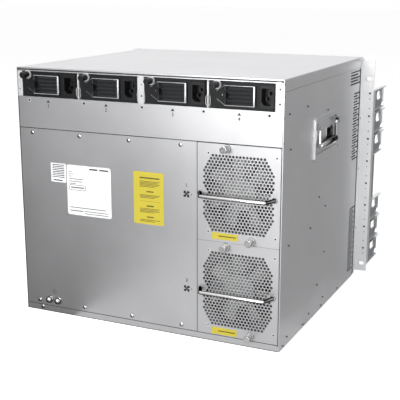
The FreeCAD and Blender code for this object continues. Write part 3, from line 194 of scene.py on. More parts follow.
def outwards(obj: bpy.types.Object) -> bpy.types.Object:
    """Merge doubled points and turn every face outwards."""
    edit_all(obj)
    bpy.ops.mesh.remove_doubles(threshold=0.00001)
    bpy.ops.mesh.normals_make_consistent(inside=False)
    done()
    return obj


def rounded(obj: bpy.types.Object, width: float) -> bpy.types.Object:
    """Bevel every edge sharper than 40 degrees by a width in millimetres."""
    pick(obj)
    bevel = obj.modifiers.new("edge", "BEVEL")
    bevel.width = width * MM
    bevel.segments = 2
    bevel.limit_method = "ANGLE"
    bevel.angle_limit = math.radians(40.0)
    bevel.harden_normals = False
    bpy.ops.object.modifier_apply(modifier=bevel.name)
    return obj


def block(name: str, low: Point, high: Point, bevel: float = 0.0) -> bpy.types.Object:
    """Block between two corners with rounded edges.

    Args:
        name: Name of the object.
        low: Lowest corner in millimetres.
        high: Highest corner in millimetres.
        bevel: Width of the rounded edges in millimetres.

    Returns:
        The block.
    """
    deselect()
    start, end = point(low), point(high)
    bpy.ops.mesh.primitive_cube_add(size=1.0, location=(start + end) / 2)
    bpy.context.active_object.scale = end - start
    obj = named(name)
    if bevel > 0.0:
        edit_all(obj, "EDGE")
        bpy.ops.mesh.bevel(offset=bevel * MM, segments=2, affect="EDGES")
        done()
    return obj


def drum(name: str, radius: float, start: Point, end: Point, sides: int = 24) -> bpy.types.Object:
    """Round bar from one point to another.

    Args:
        name: Name of the object.
        radius: Radius in millimetres.
        start: Middle of the first end.
        end: Middle of the second end.
        sides: How many sides the circle has.

    Returns:
        The bar, as a mesh with flat ends.
    """
    deselect()
    a, b = point(start), point(end)
    turn = (b - a).to_track_quat("Z", "Y").to_euler()
    bpy.ops.mesh.primitive_cylinder_add(
        vertices=sides, radius=radius * MM, depth=(b - a).length, location=(a + b) / 2, rotation=turn)
    return named(name)


def ring(name: str, radius: float, place: Point, axis: Point, sides: int) -> bpy.types.Object:
    """Open circle of edges about a point, facing along an axis."""
    deselect()
    facing = Vector(axis).to_track_quat("Z", "Y").to_euler()
    bpy.ops.mesh.primitive_circle_add(
        vertices=sides, radius=radius * MM, location=point(place), rotation=facing)
    return named(name)


def lathe(name: str, place: Point, axis: Point, steps: Sequence[tuple[float, float]],
          sides: int = 24) -> bpy.types.Object:
    """Turned piece: a circle that is extruded and resized step by step, and closed at both ends.

    Args:
        name: Name of the object.
        place: The point on the axis where heights are 0.
        axis: Direction of the axis, one of the three main directions.
        steps: Radius and height of each step, from one end to the other.
        sides: How many sides the piece has.

    Returns:
        The turned piece.
    """
    way = Vector(axis)
    radius, height = steps[0]
    start = Vector(place) + way * height
    obj = ring(name, radius, tuple(start), axis, sides)
    edit_all(obj, "EDGE")
    keep = tuple(abs(abs(value) - 1.0) < 1e-6 for value in way)
    for (r0, h0), (r1, h1) in zip(steps, steps[1:]):
        bpy.ops.mesh.extrude_region_move(TRANSFORM_OT_translate={"value": way * (h1 - h0) * MM})
        ratio = max(r1, 0.001) / max(r0, 0.001)
        scale = tuple(1.0 if kept else ratio for kept in keep)
        centre = point(tuple(Vector(place) + way * h1))
        bpy.ops.transform.resize(value=scale, center_override=centre)
    done()
    select_where(obj, lambda edge: edge.is_boundary, "EDGE")
    bpy.ops.mesh.fill_holes(sides=0)
    done()
    return outwards(obj)


def rod(name: str, radius: float, bend: float, path: Sequence[Point], sides: int = 16) -> bpy.types.Object:
    """Round rod along straight runs with cut corners, made from a curve with a round bevel.

    At each corner the middle line turns at 1 mm about the centre that an arc of the stated bend would have,
    because slerp gives unit vectors. So the runs between two corners lie further in than the path.

    Args:
        name: Name of the object.
        radius: Radius of the rod in millimetres.
        bend: Radius of the arc whose centre each turn goes about.
        path: Corners that the middle line turns inside of.
        sides: How many sides the rod has.

    Returns:
        The rod, as a closed mesh.
    """
    corners = [Vector(p) for p in path]
    line = [corners[0]]
    steps = 8
    for before, here, after in zip(corners, corners[1:], corners[2:]):
        u = (before - here).normalized()
        v = (after - here).normalized()
        half = u.angle(v) / 2
        middle = here + (u + v).normalized() * (bend / math.sin(half))
        a = here + u * (bend / math.tan(half)) - middle
        b = here + v * (bend / math.tan(half)) - middle
        for i in range(steps + 1):
            line.append(middle + a.slerp(b, i / steps))
    line.append(corners[-1])
    curve = bpy.data.curves.new(name, "CURVE")
    curve.dimensions = "3D"
    curve.bevel_depth = radius * MM
    curve.bevel_resolution = max(0, sides // 4 - 1)
    curve.use_fill_caps = True
    spline = curve.splines.new("POLY")
    spline.points.add(len(line) - 1)
    for knot, place in zip(spline.points, line):
        knot.co = (*(place * MM), 1.0)
    obj = bpy.data.objects.new(name, curve)
    bpy.context.scene.collection.objects.link(obj)
    pick(obj)
    bpy.ops.object.convert(target="MESH")
    return smooth(outwards(named(name)), 50.0)


def outline_of(name: str, corners: Sequence[Point], fill: str) -> bpy.types.Object:
    """Polygon through corners in millimetres, as a face (NGON) or as a loop of edges (NOTHING)."""
    deselect()
    bpy.ops.mesh.primitive_circle_add(vertices=len(corners), radius=1.0, fill_type=fill)
    obj = named(name)
    for vertex, place in zip(obj.data.vertices, corners):
        vertex.co = point(place)
    return obj


def sheet_outline(name: str, corners: Sequence[Point], thickness: Point) -> bpy.types.Object:
    """Flat polygon extruded by a distance.

    Args:
        name: Name of the object.
        corners: Corners of the polygon in order.
        thickness: The distance and direction of the extrusion.

    Returns:
        The closed plate.
    """
    obj = outline_of(name, corners, "NGON")
    edit_all(obj)
    bpy.ops.mesh.extrude_region_move(TRANSFORM_OT_translate={"value": point(thickness)})
    done()
    return outwards(obj)


def frame_plate(name: str, outer: Sequence[Point], inner: Sequence[Point],
                thickness: Point) -> bpy.types.Object:
    """Flat frame between two outlines with the same number of corners, extruded by a distance.

    Args:
        name: Name of the object.
        outer: Corners of the outside.
        inner: Corners of the inside, in the same order.
        thickness: The distance and direction of the extrusion.

    Returns:
        The closed frame.
    """
    obj = joined(name, [outline_of(name, corners, "NOTHING") for corners in (outer, inner)])
    edit_all(obj, "EDGE")
    bpy.ops.mesh.bridge_edge_loops()
    bpy.ops.mesh.select_all(action="SELECT")
    bpy.ops.mesh.extrude_region_move(TRANSFORM_OT_translate={"value": point(thickness)})
    done()
    return outwards(obj)


def card_corners(x0: float, x1: float, z0: float, z1: float, radius: float) -> list[Point]:
    """Corners of an upright rectangle with rounded corners on the rear plane.

    Args:
        x0: First X.
        x1: Second X.
        z0: Lower edge.
        z1: Upper edge.
        radius: Radius of the corners.

    Returns:
        The points in order.
    """
    steps = 5
    points = []
    x0, x1 = min(x0, x1), max(x0, x1)
    for cx, cz, turn in ((x1, z1, 0), (x0, z1, 1), (x0, z0, 2), (x1, z0, 3)):
        mx = cx - radius if cx == x1 else cx + radius
        mz = cz - radius if cz == z1 else cz + radius
        for i in range(steps + 1):
            angle = (turn + i / steps) * math.pi / 2
            points.append((mx + radius * math.cos(angle), REAR, mz + radius * math.sin(angle)))
    return points


def cross_recess(obj: bpy.types.Object, place: Point, half: float, width: float, depth: float) -> None:
    """Cut a crossed recess into the +Y end of a screw.

    Args:
        obj: The screw.
        place: Middle of its end.
        half: Half the length of each arm.
        width: Width of each arm.
        depth: Depth of the recess.
    """
    x, y, z = place
    for reach_x, reach_z in ((half, width / 2), (width / 2, half)):
        cutter = block("recess", (x - reach_x, y - depth, z - reach_z), (x + reach_x, y + 1.0, z + reach_z))
        pick(obj)
        cut = obj.modifiers.new("recess", "BOOLEAN")
        cut.operation = "DIFFERENCE"
        cut.solver = "EXACT"
        cut.object = cutter
        bpy.ops.object.modifier_apply(modifier=cut.name)
        bpy.data.objects.remove(cutter)


def lettering(name: str, text: str, x: float, z: float, height: float) -> bpy.types.Object:
    """Plain characters standing on the rear plane, read from behind the chassis.

    Args:
        name: Name of the object.
        text: The characters.
        x: Middle of the line.
        z: Foot of the line.
        height: Height of a capital in millimetres.

    Returns:
        The characters as a mesh.
    """
    deselect()
    bpy.ops.object.text_add(location=point((x, REAR + SKIN, z)), rotation=(math.pi / 2, 0.0, math.pi))
    data = bpy.context.active_object.data
    data.body = text
    data.align_x = "CENTER"
    data.size = height * MM / CAPITAL
    data.extrude = SKIN * MM / 2
    data.offset = 0.12 * MM
    data.resolution_u = 4
    bpy.ops.object.convert(target="MESH")
    return named(name)


def circle_corners(x: float, z: float, radius: float, sides: int) -> list[Point]:
    """Corners of a circle on the rear plane."""
    turns = [2 * math.pi * i / sides for i in range(sides)]
    return [(x + radius * math.cos(turn), REAR, z + radius * math.sin(turn)) for turn in turns]


def washer(name: str, x: float, z: float, outer: float, inner: float, height: float) -> bpy.types.Object:
    """Flat ring standing on the rear plane."""
    edges = [circle_corners(x, z, radius, 28) for radius in (outer, inner)]
    return smooth(frame_plate(name, *edges, (0.0, height, 0.0)), 40.0)


def spot(name: str, place: Point, axis: Point, radius: float, height: float = SKIN) -> bpy.types.Object:
    """Flat round spot standing on a panel."""
    start = Vector(place)
    return drum(name, radius, place, tuple(start + Vector(axis) * height), 16)


def bars(name: str, boxes: Iterable[Span], height: float) -> bpy.types.Object:
    """Flat bars on the rear plane.

    Args:
        name: Name of the whole.
        boxes: X of both ends and Z of both edges of each bar.
        height: How far the bars' faces stand out of the rear plane.

    Returns:
        The bars as one object.
    """
    parts = [block("bar", (min(x0, x1), REAR, min(z0, z1)), (max(x0, x1), REAR + height, max(z0, z1)))
             for x0, x1, z0, z1 in boxes]
    return joined(name, parts)


# ---------------------------------------------------------------- materials


class Axis(Enum):
    """Direction in which a sheet was rolled, as the stretch of its grain."""

    ACROSS = (1.0, 0.04, 1.0)
    UP = (1.0, 1.0, 0.04)
    NONE = (1.0, 1.0, 1.0)


def socket(group: bpy.types.NodeTree, name: str, kind: str, way: str = "INPUT",
           value: float | None = None) -> None:
    """Add a named socket to a node group."""
    item = group.interface.new_socket(name=name, in_out=way, socket_type=kind)
    if value is not None:
        item.default_value = value


class Effects:
    """Node groups that more than one finish uses."""

    def __init__(self) -> None:
        """Build both groups once."""
        self.tone = self._tone()
        self.grain = self._grain()

    @staticmethod
    def _tone() -> bpy.types.NodeTree:
        """Group that clouds a colour and a roughness, as handling and coating do."""
        group = bpy.data.node_groups.new("clouded_tone", "ShaderNodeTree")
        socket(group, "Vector", "NodeSocketVector")
        socket(group, "Colour", "NodeSocketColor")
        socket(group, "Darker", "NodeSocketFloat", value=0.92)
        socket(group, "Cloud Scale", "NodeSocketFloat", value=6.0)
        socket(group, "Roughness", "NodeSocketFloat", value=0.4)
        socket(group, "Roughness Change", "NodeSocketFloat", value=0.08)
        socket(group, "Colour", "NodeSocketColor", "OUTPUT")
        socket(group, "Roughness", "NodeSocketFloat", "OUTPUT")
        nodes, links = group.nodes, group.links
        inside = nodes.new("NodeGroupInput")
        out = nodes.new("NodeGroupOutput")
        cloud = nodes.new("ShaderNodeTexNoise")
        cloud.inputs["Detail"].default_value = 4.0
        cloud.inputs["Roughness"].default_value = 0.6
        links.new(inside.outputs["Vector"], cloud.inputs["Vector"])
        links.new(inside.outputs["Cloud Scale"], cloud.inputs["Scale"])
        spread = nodes.new("ShaderNodeMapRange")
        spread.inputs["From Min"].default_value = 0.35
        spread.inputs["From Max"].default_value = 0.65
        spread.inputs["To Max"].default_value = 1.0
        links.new(inside.outputs["Darker"], spread.inputs["To Min"])
        links.new(cloud.outputs["Fac"], spread.inputs["Value"])
        tint = nodes.new("ShaderNodeVectorMath")
        tint.operation = "SCALE"
        links.new(inside.outputs["Colour"], tint.inputs[0])
        links.new(spread.outputs["Result"], tint.inputs["Scale"])
        links.new(tint.outputs["Vector"], out.inputs["Colour"])
        offset = nodes.new("ShaderNodeMath")
        offset.operation = "SUBTRACT"
        offset.inputs[1].default_value = 0.5
        links.new(cloud.outputs["Fac"], offset.inputs[0])
        sway = nodes.new("ShaderNodeMath")
        sway.operation = "MULTIPLY_ADD"
        links.new(offset.outputs[0], sway.inputs[0])
        links.new(inside.outputs["Roughness Change"], sway.inputs[1])
        links.new(inside.outputs["Roughness"], sway.inputs[2])
        links.new(sway.outputs[0], out.inputs["Roughness"])
        return group

    @staticmethod
    def _grain() -> bpy.types.NodeTree:
        """Group that gives a height of fine streaks or specks."""
        group = bpy.data.node_groups.new("fine_grain", "ShaderNodeTree")
        socket(group, "Vector", "NodeSocketVector")
        socket(group, "Stretch", "NodeSocketVector")
        socket(group, "Scale", "NodeSocketFloat", value=900.0)
        socket(group, "Height", "NodeSocketFloat", "OUTPUT")
        nodes, links = group.nodes, group.links
        inside = nodes.new("NodeGroupInput")
        out = nodes.new("NodeGroupOutput")
        stretch = nodes.new("ShaderNodeVectorMath")
        stretch.operation = "MULTIPLY"
        links.new(inside.outputs["Vector"], stretch.inputs[0])
        links.new(inside.outputs["Stretch"], stretch.inputs[1])
        specks = nodes.new("ShaderNodeTexNoise")
        specks.inputs["Detail"].default_value = 2.0
        links.new(stretch.outputs["Vector"], specks.inputs["Vector"])
        links.new(inside.outputs["Scale"], specks.inputs["Scale"])
        links.new(specks.outputs["Fac"], out.inputs["Height"])
        return group


@dataclass(frozen=True)
class Finish:
    """One finish of the chassis: a clouded colour with a grain under a plain gloss, with painted shade at
    the edges of rounded pieces.
    """

    name: str
    level: Colour
    metallic: float = 1.0
    roughness: float = 0.4
    change: float = 0.08
    darker: float = 0.94
    cloud: float = 6.0
    rolled: Axis = Axis.NONE
    grain: float = 900.0
    bump: float = 0.03
    coat: float = 0.0
    specular: float = 0.5
    # rim: share of the colour left where painted shade darkens the edges of a rounded surface; 1 paints none
    rim: float = 1.0
    rim_span: tuple[float, float] = (0.15, 0.42)

    def build(self, effects: Effects) -> bpy.types.Material:
        """Material of this finish.

        Args:
            effects: The shared node groups.

        Returns:
            The material.
        """
        material = bpy.data.materials.new(self.name)
        material.use_nodes = True
        nodes, links = material.node_tree.nodes, material.node_tree.links
        shader = nodes["Principled BSDF"]
        shader.inputs["Metallic"].default_value = self.metallic
        shader.inputs["Specular IOR Level"].default_value = self.specular
        shader.inputs["Coat Weight"].default_value = self.coat
        shader.inputs["Coat Roughness"].default_value = 0.2
        where = nodes.new("ShaderNodeTexCoord")
        tone = nodes.new("ShaderNodeGroup")
        tone.node_tree = effects.tone
        tone.inputs["Colour"].default_value = linear(self.level)
        tone.inputs["Darker"].default_value = self.darker
        tone.inputs["Cloud Scale"].default_value = self.cloud
        tone.inputs["Roughness"].default_value = self.roughness
        tone.inputs["Roughness Change"].default_value = self.change
        links.new(where.outputs["Object"], tone.inputs["Vector"])
        colour = tone.outputs["Colour"]
        if self.rim < 1.0:
            colour = self.darker_rim(material.node_tree, colour)
            # a grey specular tint paints darker reflections at the edges as well
            shader.inputs["Specular Tint"].default_value = (0.2, 0.2, 0.2, 1.0)
        links.new(colour, shader.inputs["Base Color"])
        links.new(tone.outputs["Roughness"], shader.inputs["Roughness"])
        grain = nodes.new("ShaderNodeGroup")
        grain.node_tree = effects.grain
        grain.inputs["Stretch"].default_value = self.rolled.value
        grain.inputs["Scale"].default_value = self.grain
        links.new(where.outputs["Object"], grain.inputs["Vector"])
        bump = nodes.new("ShaderNodeBump")
        bump.inputs["Strength"].default_value = self.bump
        bump.inputs["Distance"].default_value = 0.0005
        links.new(grain.outputs["Height"], bump.inputs["Height"])
        links.new(bump.outputs["Normal"], shader.inputs["Normal"])
        return material

    def darker_rim(self, tree: bpy.types.NodeTree, colour: bpy.types.NodeSocket) -> bpy.types.NodeSocket:
        """Paint shade into a colour where a rounded surface turns away from the view, standing in for dark
        reflections at its edges.

        Args:
            tree: The material's nodes.
            colour: Where the colour comes out.

        Returns:
            Where the darkened colour comes out.
        """
        facing = tree.nodes.new("ShaderNodeLayerWeight")
        facing.inputs["Blend"].default_value = 0.5
        fade = tree.nodes.new("ShaderNodeMapRange")
        fade.inputs["From Min"].default_value = self.rim_span[0]
        fade.inputs["From Max"].default_value = self.rim_span[1]
        fade.inputs["To Min"].default_value = 1.0
        fade.inputs["To Max"].default_value = self.rim
        darkened = tree.nodes.new("ShaderNodeVectorMath")
        darkened.operation = "SCALE"
        tree.links.new(facing.outputs["Facing"], fade.inputs["Value"])
        tree.links.new(colour, darkened.inputs[0])
        tree.links.new(fade.outputs["Result"], darkened.inputs["Scale"])
        return darkened.outputs["Vector"]


FINISHES = (
    Finish("satin_sheet", (214, 214, 216), roughness=0.36, rolled=Axis.ACROSS, bump=0.05),
    Finish("ear_steel", (246, 247, 248), metallic=0.2, roughness=0.34, rolled=Axis.UP, bump=0.05),
    Finish("guide_shaded_grey", (150, 152, 156), metallic=0.85, roughness=0.42, bump=0.05),
    Finish("spring_strip", (232, 232, 230), roughness=0.22, rolled=Axis.UP),
    Finish("board_green", (26, 62, 42), metallic=0.0, roughness=0.5, darker=0.8, cloud=60.0, coat=0.3),
    Finish("rail_plastic", (52, 53, 56), metallic=0.0, roughness=0.55, darker=0.85, bump=0.1),
    # polished_rod, grip_steel and turned_knob paint dark edges with rim: painted shade for dark reflections
    Finish("polished_rod", (236, 236, 236), roughness=0.09, change=0.05, rolled=Axis.NONE, bump=0.01,
           rim=0.06),
    Finish("grip_steel", (226, 226, 226), roughness=0.14, change=0.05, bump=0.01, rim=0.05,
           rim_span=(0.6, 0.78)),
    Finish("fan_plastic", (156, 157, 156), metallic=0.0, roughness=0.5, darker=0.85, bump=0.1),
    Finish("fan_frame", (40, 41, 42), metallic=0.0, roughness=0.5, darker=0.85, bump=0.1),
    Finish("turned_steel", (222, 222, 220), roughness=0.22, cloud=90.0, bump=0.04),
    Finish("turned_knob", (214, 214, 213), roughness=0.26, cloud=90.0, bump=0.04, rim=0.12),
    Finish("black_coat", (20, 21, 23), metallic=0.0, roughness=0.45, darker=0.82, cloud=20.0, grain=1600.0,
           bump=0.2, specular=0.22),
    Finish("black_moulding", (24, 24, 26), metallic=0.0, roughness=0.38, darker=0.85, cloud=30.0, bump=0.12,
           specular=0.3),
    Finish("louvre_grey", (48, 49, 52), metallic=0.0, roughness=0.4, darker=0.85, cloud=30.0, bump=0.1,
           specular=0.3),
    Finish("bright_trim", (218, 219, 220), metallic=0.4, roughness=0.3, rolled=Axis.UP, bump=0.03),
    Finish("pull_steel", (196, 197, 198), metallic=0.5, roughness=0.3, bump=0.03),
    Finish("knob_steel", (160, 160, 160), metallic=0.7, roughness=0.36, cloud=90.0, bump=0.04),
    # dark grey that paints the shade in seams, along edges, in the ear grooves and in the vent slots
    Finish("painted_shade_grey", (58, 59, 61), metallic=0.0, roughness=0.7, darker=0.85, cloud=60.0, bump=0.1,
           specular=0.2),
    Finish("white_label", (226, 227, 228), metallic=0.0, roughness=0.5, change=0.04, darker=0.97, bump=0.02),
    Finish("yellow_label", (190, 175, 46), metallic=0.0, roughness=0.45, change=0.04, darker=0.96,
           bump=0.02),
    Finish("label_ink", (44, 44, 44), metallic=0.0, roughness=0.6, darker=0.8, cloud=400.0, bump=0.02),
    Finish("pale_ink", (58, 58, 58), metallic=0.0, roughness=0.6, darker=0.85, cloud=400.0, bump=0.02),
    Finish("olive_ink", (92, 82, 26), metallic=0.0, roughness=0.6, darker=0.85, cloud=400.0, bump=0.02),
    Finish("dim_strip", (120, 121, 122), roughness=0.35, bump=0.02),
    Finish("guide_light", (228, 229, 230), roughness=0.34, rolled=Axis.UP, bump=0.05),
    Finish("lamp_green", (70, 168, 84), metallic=0.0, roughness=0.3, darker=0.9, cloud=60.0, coat=0.5),
    Finish("panel_ink", (26, 27, 28), metallic=0.0, roughness=0.6, darker=0.85, cloud=400.0, bump=0.02),
    Finish("shadow_recess", (22, 22, 24), metallic=0.0, roughness=0.8, darker=0.7, cloud=200.0, bump=0.05),
)


class Wardrobe:
    """All finishes by name, and how a piece is put on the object."""

    def __init__(self) -> None:
        """Build every finish."""
        effects = Effects()
        self.materials = {finish.name: finish.build(effects) for finish in FINISHES}

    def dress(self, obj: bpy.types.Object, finish: str) -> bpy.types.Object:
        """Give a whole object one finish."""
        obj.data.materials.clear()
        obj.data.materials.append(self.materials[finish])
        return obj

    def put(self, name: str, parts: Iterable[bpy.types.Object], finish: str, body: str, slot: str,
            replaces: Sequence[str] = ()) -> None:
        """Join parts into one piece of one finish and put it on the object.

        Args:
            name: Name of the piece.
            parts: Its parts.
            finish: Its finish.
            body: The CAD body it moves with.
            slot: The record's material slot, passed on to hang.
            replaces: CAD nodes that it stands for.
        """
        self.hang(self.dress(joined(name, parts), finish), body, slot, replaces)

    def hang(self, obj: bpy.types.Object, body: str, slot: str, replaces: Sequence[str] = ()) -> None:
        """Put a finished piece on the object.

        Args:
            obj: The piece.
            body: The CAD body it moves with.
            slot: The record's material slot; not used.
            replaces: CAD nodes that it stands for.
        """
        settle(obj)
        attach(obj, body)
        if replaces:
            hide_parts(*replaces)
        LOG.info("%s rides on %s, %d faces", obj.name, body, len(obj.data.polygons))


# ---------------------------------------------------------------- the studio


@dataclass
class Studio:
    """Floor, world, lamps, reflected cards and camera."""

    camera_place: Point = (-0.6298, 1.3511, 0.529)
    camera_way: Point = (0.411, -0.880, -0.240)
    lens: float = 80.4

    def build(self) -> None:
        """Set everything up."""
        self.world()
        self.floor()
        self.lamps()
        self.cards()
        self.camera()
        bpy.context.scene.view_settings.view_transform = "Standard"

    def world(self) -> None:
        """World that is white to the camera, to gloss and through glass, and soft grey as a light."""
        world = bpy.data.worlds.new("studio")
        bpy.context.scene.world = world
        world.use_nodes = True
        nodes, links = world.node_tree.nodes, world.node_tree.links
        nodes.clear()
        out = nodes.new("ShaderNodeOutputWorld")
        light = nodes.new("ShaderNodeBackground")
        light.inputs["Strength"].default_value = 0.45
        white = nodes.new("ShaderNodeBackground")
        white.inputs["Color"].default_value = (1.0, 1.0, 1.0, 1.0)
        path = nodes.new("ShaderNodeLightPath")
        seen = nodes.new("ShaderNodeMath")
        seen.operation = "MAXIMUM"
        more = nodes.new("ShaderNodeMath")
        more.operation = "MAXIMUM"
        mix = nodes.new("ShaderNodeMixShader")
        links.new(path.outputs["Is Camera Ray"], seen.inputs[0])
        links.new(path.outputs["Is Glossy Ray"], seen.inputs[1])
        links.new(seen.outputs[0], more.inputs[0])
        links.new(path.outputs["Is Transmission Ray"], more.inputs[1])
        links.new(more.outputs[0], mix.inputs["Fac"])
        links.new(light.outputs[0], mix.inputs[1])
        links.new(white.outputs[0], mix.inputs[2])
        links.new(mix.outputs[0], out.inputs["Surface"])

    def floor(self) -> None:
        """Pale floor that is white to the camera except for the object's shadow."""
        deselect()
        bpy.ops.mesh.primitive_plane_add(size=30.0)
        floor = named("floor")
        material = bpy.data.materials.new("floor_white")
        material.use_nodes = True
        nodes, links = material.node_tree.nodes, material.node_tree.links
        shader = nodes["Principled BSDF"]
        shader.inputs["Base Color"].default_value = (0.9, 0.9, 0.9, 1.0)
        shader.inputs["Roughness"].default_value = 0.9
        shader.inputs["Emission Color"].default_value = (1.0, 1.0, 1.0, 1.0)
        path = nodes.new("ShaderNodeLightPath")
        seen = nodes.new("ShaderNodeMath")
        seen.operation = "MULTIPLY"
        seen.inputs[1].default_value = 0.6
        links.new(path.outputs["Is Camera Ray"], seen.inputs[0])
        links.new(seen.outputs[0], shader.inputs["Emission Strength"])
        floor.data.materials.append(material)

    def lamp(self, name: str, place: Point, target: Point, size: float, power: float) -> None:
        """Square soft lamp that the camera doesn't see.

        Args:
            name: Name of the lamp.
            place: Its place in metres.
            target: The point it faces.
            size: Side of the lamp in metres.
            power: Power in watts.
        """
        data = bpy.data.lights.new(name, "AREA")
        data.shape = "SQUARE"
        data.size = size
        data.energy = power
        lamp = bpy.data.objects.new(name, data)
        lamp.location = place
        way = Vector(target) - Vector(place)
        lamp.rotation_euler = way.to_track_quat("-Z", "Y").to_euler()
        lamp.visible_camera = False
        bpy.context.scene.collection.objects.link(lamp)

    def lamps(self) -> None:
        """Key lamp on the rear, a low lamp on the ears, and a soft top lamp."""
        self.lamp("key", (0.15, 2.2, 0.7), (-0.1, 0.2, 0.25), 0.8, 29.5)
        self.lamp("edge", (-0.8, 2.5, 0.15), (-0.25, 0.0, 0.1), 0.9, 20.0)
        self.lamp("top", (0.2, -0.2, 2.4), (0.0, 0.0, 0.2), 1.8, 18.0)

    def card(self, name: str, place: Point, target: Point, size: tuple[float, float], level: float) -> None:
        """Grey card that only reflections show.

        Args:
            name: Name of the card.
            place: Its middle in metres.
            target: The point it faces.
            size: Its width and height in metres.
            level: Its brightness, where 1 is white.
        """
        deselect()
        way = (Vector(target) - Vector(place)).to_track_quat("Z", "Y").to_euler()
        bpy.ops.mesh.primitive_plane_add(size=1.0, location=place, rotation=way)
        card = bpy.context.active_object
        card.scale = (size[0], size[1], 1.0)
        named(name)
        material = bpy.data.materials.new(name)
        material.use_nodes = True
        nodes, links = material.node_tree.nodes, material.node_tree.links
        nodes.clear()
        out = nodes.new("ShaderNodeOutputMaterial")
        glow = nodes.new("ShaderNodeEmission")
        glow.inputs["Strength"].default_value = level
        links.new(glow.outputs[0], out.inputs["Surface"])
        card.data.materials.append(material)
        card.visible_camera = False
        card.visible_diffuse = False
        card.visible_shadow = False

    def cards(self) -> None:
        """Cards in six greys that the rear face, the side and the ears reflect."""
        self.card("rear_card", (2.2, 1.9, 0.5), (0.0, 0.2, 0.2), (2.4, 2.4), 0.3)
        self.card("low_card", (1.665, 1.61, 0.0006), (1.665, 1.61, 1.0), (3.07, 3.02), 0.16)
        self.card("low_card_right", (-0.41, 1.61, 0.0006), (-0.41, 1.61, 1.0), (1.08, 3.02), 0.58)
        self.card("far_card", (-0.41, 5.4, 0.0006), (-0.41, 5.4, 1.0), (3.0, 4.5), 0.75)
        self.card("side_card", (-1.6, -3.2, 0.2), (-0.2, 0.0, 0.2), (4.0, 4.0), 0.46)
        self.card("low_card_side", (-1.75, -1.6, 0.004), (-1.75, -1.6, 1.0), (3.0, 3.4), 0.39)

    def camera(self) -> None:
        """Camera at the rear quarter."""
        data = bpy.data.cameras.new("camera")
        data.lens = self.lens
        data.sensor_width = 36.0
        camera = bpy.data.objects.new("camera", data)
        camera.location = self.camera_place
        camera.rotation_euler = Vector(self.camera_way).to_track_quat("-Z", "Y").to_euler()
        bpy.context.scene.collection.objects.link(camera)
        bpy.context.scene.camera = camera


# ---------------------------------------------------------------- the chassis


@dataclass
class Chassis:
    """CAD nodes that show as they are, each in its own finish."""

    wardrobe: Wardrobe
    finishes: dict[str, str] = field(default_factory=lambda: {
        "painted_sheet": "satin_sheet", "bright_sheet": "ear_steel", "guide_sheet": "guide_shaded_grey",
        "spring_steel": "spring_strip", "circuit_board": "board_green", "guide_plastic": "rail_plastic",
        "polished_rod": "polished_rod", "fan_plastic": "fan_plastic", "thumbscrew_steel": "turned_steel",
        "black_sheet": "black_coat", "black_plastic": "black_moulding"})

    def build(self) -> None:
        """Give every CAD node the finish of its material slot."""
        slots = {part["node"]: part["material_slot"] for part in frame["record"]["subparts"]}
        for name, node in frame["nodes"].items():
            finish = self.finishes[slots[name]]
            if name.startswith("fan_housing"):
                finish = "fan_frame"
            elif name in ("power_bay_dividers", "power_bay_clips"):
                finish = "bright_trim"
            self.wardrobe.dress(node, finish)


